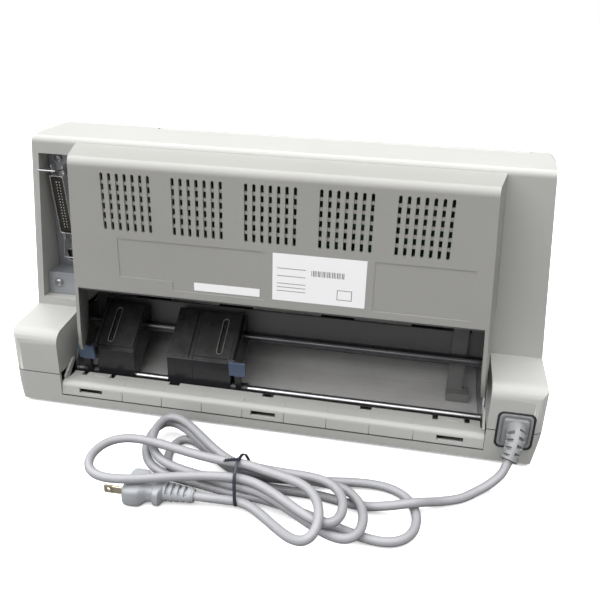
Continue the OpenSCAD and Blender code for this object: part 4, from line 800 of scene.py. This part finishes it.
tie = dict(
    width=2.6,
    thick=1.0,
    clear=4.0,
    lean=2.8,
    # the lane at each corner, and which part of the clearance is kept across and up
    corners=[((0, 0), (-1, -0.7)), ((4, 0), (1, -0.7)), ((4, 0), (1, 1)), ((3, 3), (0.6, 1)),
             ((1, 3), (-0.6, 1)), ((0, 0), (-1, 1))],
    cornerCuts=3,
    cutShares=(0.78, 0.22),
    leanTurn=0.6,
    tail=dict(points=25, halfTurns=5, start=2.0, length=11, sway=0.3, radius=0.8, aside=2, lift=1.3,
              drop=1.5, width=1.3, thick=1.0),
)


# The wire tie: a flat band drawn round the lanes, with its twisted ends on top
def addTie():
    forward = Vector((1, 0, 0))
    loop = []
    for lane, (dy, dz) in tie["corners"]:
        y, z = laneAt(*lane)
        loop.append(Vector((0, y + dy * tie["clear"], z + dz * tie["clear"])))
    more, less = tie["cutShares"]
    for _ in range(tie["cornerCuts"]):
        loop = [q for a, b in zip(loop, loop[1:] + loop[:1])
                for q in (a * more + b * less, a * less + b * more)]
    middle = sum(loop, Vector()) / len(loop)
    rings = []
    for i, p in enumerate(loop):
        ahead = (loop[(i + 1) % len(loop)] - loop[i - 1]).normalized()
        out = ahead.cross(forward)
        if out.dot(p - middle) < 0:
            out = -out
        shift = tie["lean"] * math.sin(math.atan2(p.z - middle.z, p.y - middle.y) + tie["leanTurn"])
        centre = p + Vector((cord["tieX"] + shift, 0, 0)) + out * tie["thick"] / 2
        rings.append(superRing(centre, forward, out, tie["width"], tie["thick"], 3, 12))
    top = max(loop, key=lambda p: p.z)
    parts = [skin(rings, closed=True)] + [twistedTail(top, phase) for phase in (0, math.pi)]
    piece = addMesh("wireTie", gather(parts), finishes["tie_black"], "case", 50)
    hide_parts("cord_tie")
    return piece


# One of the two ends that are twisted round each other
def twistedTail(top, phase):
    tail = tie["tail"]
    last = tail["points"] - 1
    line = []
    for k in range(tail["points"]):
        t = k / last
        a = phase + t * tail["halfTurns"] * math.pi
        line.append(Vector((
            cord["tieX"] + tail["start"] + tail["length"] * t + tail["sway"] * math.cos(a),
            top.y + tail["aside"] * t + tail["radius"] * math.cos(a),
            top.z + tail["lift"] + tail["radius"] * math.sin(a) - tail["drop"] * t * t)))
    rings = []
    for i, p in enumerate(line):
        ahead = (line[min(i + 1, last)] - line[max(i - 1, 0)]).normalized()
        side = ahead.cross(Vector((0, 0, 1))).normalized()
        rings.append(superRing(p, side, side.cross(ahead), tail["width"], tail["thick"], 2.4, 10))
    return skin(rings)


addInletConnector()
plugBody, plugBlades = addPlug()
wireTie = addTie()
addCord()
print("cord, plug, connector and tie made")

labels = dict(
    face=136.0,
    thick=0.16,
    # left, right, low and high of each label, and how far it is sunk behind the hood's face
    papers=[((-82, -7.5, 129, 169), 0.05), ((3.1, 58.2, 129.6, 136.5), 0.55)],
    # in shares of the first label: plain rules, a patch of bars and an empty frame
    rules=[(0.05, 0.36, v, v + 0.012) for v in (0.30, 0.46, 0.62, 0.70, 0.78)],
    bars=dict(first=0.42, step=0.017, count=21, widths=(0.005, 0.009, 0.009), top=0.30, bottom=0.42),
    frame=[(0.70, 0.86, 0.66, 0.672), (0.70, 0.86, 0.86, 0.872), (0.70, 0.707, 0.66, 0.872),
           (0.853, 0.86, 0.66, 0.872)],
    ink=(-0.02, 0.03),
)


def addLabels():
    thick = labels["thick"]
    parts = []
    for (x0, x1, z0, z1), sunk in labels["papers"]:
        y = labels["face"] - sunk
        parts.append(chamferedBox((x0, y, z0), (x1, y + thick, z1), 0.05))
    addMesh("paperLabels", gather(parts), labelPaper, "case", 30)
    (x0, x1, z0, z1), sunk = labels["papers"][0]
    y = labels["face"] - sunk + thick
    below, above = labels["ink"]
    bars, patch = labels["bars"], []
    for k in range(bars["count"]):
        u = bars["first"] + k * bars["step"]
        patch.append((u, u + bars["widths"][k % 3], bars["top"], bars["bottom"]))
    rules = []
    for u0, u1, v0, v1 in labels["rules"] + patch + labels["frame"]:
        right, left = x1 - u0 * (x1 - x0), x1 - u1 * (x1 - x0)
        high, low = z1 - v0 * (z1 - z0), z1 - v1 * (z1 - z0)
        rules.append(chamferedBox((left, y + below, low), (right, y + above, high), 0.01))
    addMesh("labelRules", gather(rules), ruleInk, "case", 30)


addLabels()

# The interface plate is tilted: up runs along it, out points away from it
bracket = dict(
    x=203.33,
    low=(54, 107),
    high=(70, 222),
    socket=(40, 95),
    # half width, out from and to, and the inset at the socket's two ends
    body=(5.5, 2.0, 9.3, 0.4),
    # rails beside the slot, and a contact on each: near and far side, out from and to, then the inset at
    # the ends or the half height
    rail=(1.3, 4.9, 9.0, 10.0, 2),
    contact=(1.0, 1.75, 9.2, 10.15, 0.45),
    contacts=17,
    pitch=2.75,
    port=14,
    # half width, out from and to, half height of the small port's body and tongue
    portParts=[(4.6, -1.5, 3.4, 4.6), (2.9, 2.0, 5.0, 2.0)],
    # out and growth round the rolled rim, over an opening of this width and corner
    rim=[(9.6, 0), (10.9, 0), (11.25, 0.25), (11.25, 0.6), (10.9, 0.8), (9.6, 0.8)],
    rimWidth=11.0,
    rimCorner=2.2,
    # radius and height of the screw heads, on the plate and on the step beside it
    plateScrew=(3.5, 1.3),
    plateScrewOut=2.3,
    plateScrewPast=14,
    stepScrew=(3.8, 1.6),
    stepScrewPlace=(212.9, 78.3, 97),
)
screwHead = dict(count=26, dome=0.45, brim=0.55, crossHalf=0.13, crossReach=0.3, crossDepth=0.5)


def onBracket(x, out, up):
    y0, z0 = bracket["low"]
    y1, z1 = bracket["high"]
    run = Vector((0, y1 - y0, z1 - z0)).normalized()
    away = Vector((0, run.z, -run.y))
    return Vector((bracket["x"] + x, y0, z0)) + away * out + run * up


# A box in the plate's own directions
def plateBox(x0, x1, out0, out1, up0, up1, cut=0.15):
    points, faces = chamferedBox((x0, out0, up0), (x1, out1, up1), cut)
    return [onBracket(*p) for p in points], faces


# A screw head: a dome with a cross cut into it
def crossHead(centre, out, up, radius, height):
    across = out.cross(up)
    count = screwHead["count"]
    points, faces = [], []
    for i in range(count + 1):
        for j in range(count + 1):
            u, v = 2 * i / count - 1, 2 * j / count - 1
            x, y = u * math.sqrt(1 - v * v / 2), v * math.sqrt(1 - u * u / 2)
            r2 = x * x + y * y
            rise = height * (1 - screwHead["dome"] * r2 - screwHead["brim"] * r2 ** 6)
            if min(abs(x), abs(y)) < screwHead["crossHalf"] and r2 < screwHead["crossReach"]:
                rise -= screwHead["crossDepth"] * height
            points.append(centre + across * x * radius + up * y * radius + out * rise)
    for i in range(count):
        for j in range(count):
            a = i * (count + 1) + j
            faces.append((a, a + 1, a + count + 2, a + count + 1))
    return points, faces


# A box on each side of the plate's middle line
def plateTwins(near, far, out0, out1, up0, up1, cut=0.15):
    return [plateBox(x0, x1, out0, out1, up0, up1, cut) for x0, x1 in ((-far, -near), (near, far))]


def addInterfaceDetail():
    low, high = bracket["socket"]
    half, out0, out1, inset = bracket["body"]
    core = [plateBox(-half, half, out0, out1, low + inset, high - inset)]
    for half, out0, out1, tall in bracket["portParts"]:
        core.append(plateBox(-half, half, out0, out1, bracket["port"] - tall, bracket["port"] + tall))
    near, far, out0, out1, inset = bracket["rail"]
    core += plateTwins(near, far, out0, out1, low + inset, high - inset)
    addMesh("socketInsulators", gather(core), insulatorBlack, "case", 30)
    near, far, out0, out1, tall = bracket["contact"]
    contacts = []
    for k in range(bracket["contacts"]):
        up = (low + high) / 2 + (k - (bracket["contacts"] - 1) / 2) * bracket["pitch"]
        contacts += plateTwins(near, far, out0, out1, up - tall, up + tall, 0.1)
    addMesh("socketContacts", gather(contacts), contactTin, "case", 30)
    rim = []
    for out, grow in bracket["rim"]:
        width, height = bracket["rimWidth"] + 2 * grow, high - low + 2 * grow
        ring = roundedRing(Vector((0, 0, (low + high) / 2)), Vector((1, 0, 0)), Vector((0, 0, 1)),
                           width, height, bracket["rimCorner"] + grow, 6)
        rim.append([onBracket(p.x, out, p.z) for p in ring])
    addMesh("socketRim", skin(rim, closed=True), finishes["nickel_shell"], "case", 50)
    run = (onBracket(0, 0, 1) - onBracket(0, 0, 0)).normalized()
    away = (onBracket(0, 1, 0) - onBracket(0, 0, 0)).normalized()
    heads = [crossHead(onBracket(0, bracket["plateScrewOut"], up), away, run, *bracket["plateScrew"])
             for up in (low - bracket["plateScrewPast"], high + bracket["plateScrewPast"])]
    heads.append(crossHead(Vector(bracket["stepScrewPlace"]), Vector((0, 1, 0)), Vector((0, 0, 1)),
                           *bracket["stepScrew"]))
    addMesh("bracketScrews", gather(heads), finishes["bright_steel"], "case", 60)


addInterfaceDetail()

panel = dict(
    crest=(16, 237),
    slope=45.27,
    lampX=188,
    lampRows=(-40.2, -68.2, -96.2),
    # height and radius up each lens
    lens=[(-0.4, 2.0), (0.3, 2.0), (0.7, 1.7), (0.95, 1.1), (1.02, 0.4)],
)


# Small domed lenses in the lamp holes of the control panel
def addPanelLamps():
    a = math.radians(panel["slope"])
    y0, z0 = panel["crest"]
    away = Vector((0, -math.sin(a), math.cos(a)))
    along = Vector((0, math.cos(a), math.sin(a)))
    parts = []
    for row in panel["lampRows"]:
        centre = Vector((panel["lampX"], y0, z0)) + along * row
        parts.append(skin([circleRing(centre + away * h, Vector((1, 0, 0)), along, r, 24)
                           for h, r in panel["lens"]]))
    addMesh("panelLamps", gather(parts), lampLens, "case", 60)


addPanelLamps()

deck = dict(
    origin=(106.5, 46.8),
    tilt=38,
    slits=dict(left=154, right=49),
    halfWidth=2.25,
    run=(-43, -8),
    corner=2.0,
    # growth and height round the liner's section
    liner=[(0, 1.2), (0, 2.85), (0.2, 3.0), (0.6, 3.0), (0.7, 2.85), (0.7, 2.6)],
)


# A pale liner round each tractor lid's slit
def addSlitLiners():
    a = math.radians(deck["tilt"])
    y0, z0 = deck["origin"]
    along = Vector((0, math.cos(a), -math.sin(a)))
    away = Vector((0, math.sin(a), math.cos(a)))
    low, high = deck["run"]
    for side, x in deck["slits"].items():
        centre = Vector((x, y0, z0)) + along * (low + high) / 2
        rings = [roundedRing(centre + away * h, Vector((1, 0, 0)), along, 2 * (deck["halfWidth"] + grow),
                             high - low + 2 * grow, deck["corner"] + grow, 6) for grow, h in deck["liner"]]
        shape = skin(rings, closed=True)
        addMesh("slitLiner." + side, shape, linerPlastic, "flap_" + side, 50)


addSlitLiners()
print("labels, interface and panel detail made")


# The floor is brighter to the camera than to the printer, as a lit studio table is
studio = dict(
    floorSize=9,
    floorUnseen=(0.14, 0.14, 0.14),
    floorSeen=(0.93, 0.93, 0.93),
    floorGlow=0.32,
    skyUnseen=0.24,
    # direction, strength and spread in degrees
    lights=dict(softOverhead=((0.22, 0.08, 1.0), 6.9, 105), rearFill=((0.35, 1.0, 0.40), 0.62, 50)),
)


def addStage():
    mesh = bpy.data.meshes.new("studioFloor")
    size = studio["floorSize"]
    corners = [(-size, -size, 0), (size, -size, 0), (size, size, 0), (-size, size, 0)]
    mesh.from_pydata(corners, [], [(0, 1, 2, 3)])
    floor = bpy.data.objects.new("studioFloor", mesh)
    scene.collection.objects.link(floor)
    material, tree, shader = startMaterial("paleFloor")
    seen = addNode(tree, "ShaderNodeLightPath").outputs["Is Camera Ray"]
    look = blendColour(tree, seen, studio["floorUnseen"], studio["floorSeen"])
    tree.links.new(look, shader.inputs["Base Color"])
    shader.inputs["Emission Color"].default_value = (1, 1, 1, 1)
    tree.links.new(spread(tree, seen, 0, 1, 0, studio["floorGlow"]), shader.inputs["Emission Strength"])
    shader.inputs["Roughness"].default_value = 0.7
    shader.inputs["Specular IOR Level"].default_value = 0.1
    floor.data.materials.append(material)


def addLights():
    world = bpy.data.worlds.new("studio")
    scene.world = world
    world.use_nodes = True
    tree = world.node_tree
    sky = tree.nodes["Background"]
    seen = addNode(tree, "ShaderNodeLightPath").outputs["Is Camera Ray"]
    tree.links.new(spread(tree, seen, 0, 1, studio["skyUnseen"], 1.0), sky.inputs["Strength"])
    sky.inputs["Color"].default_value = (1, 1, 1, 1)
    for name, (direction, power, angle) in studio["lights"].items():
        data = bpy.data.lights.new(name, "SUN")
        data.energy = power
        data.angle = math.radians(angle)
        lamp = bpy.data.objects.new(name, data)
        scene.collection.objects.link(lamp)
        lamp.rotation_mode = "QUATERNION"
        lamp.rotation_quaternion = Vector(direction).to_track_quat("Z", "Y")


addStage()
addLights()
print("stage lit")
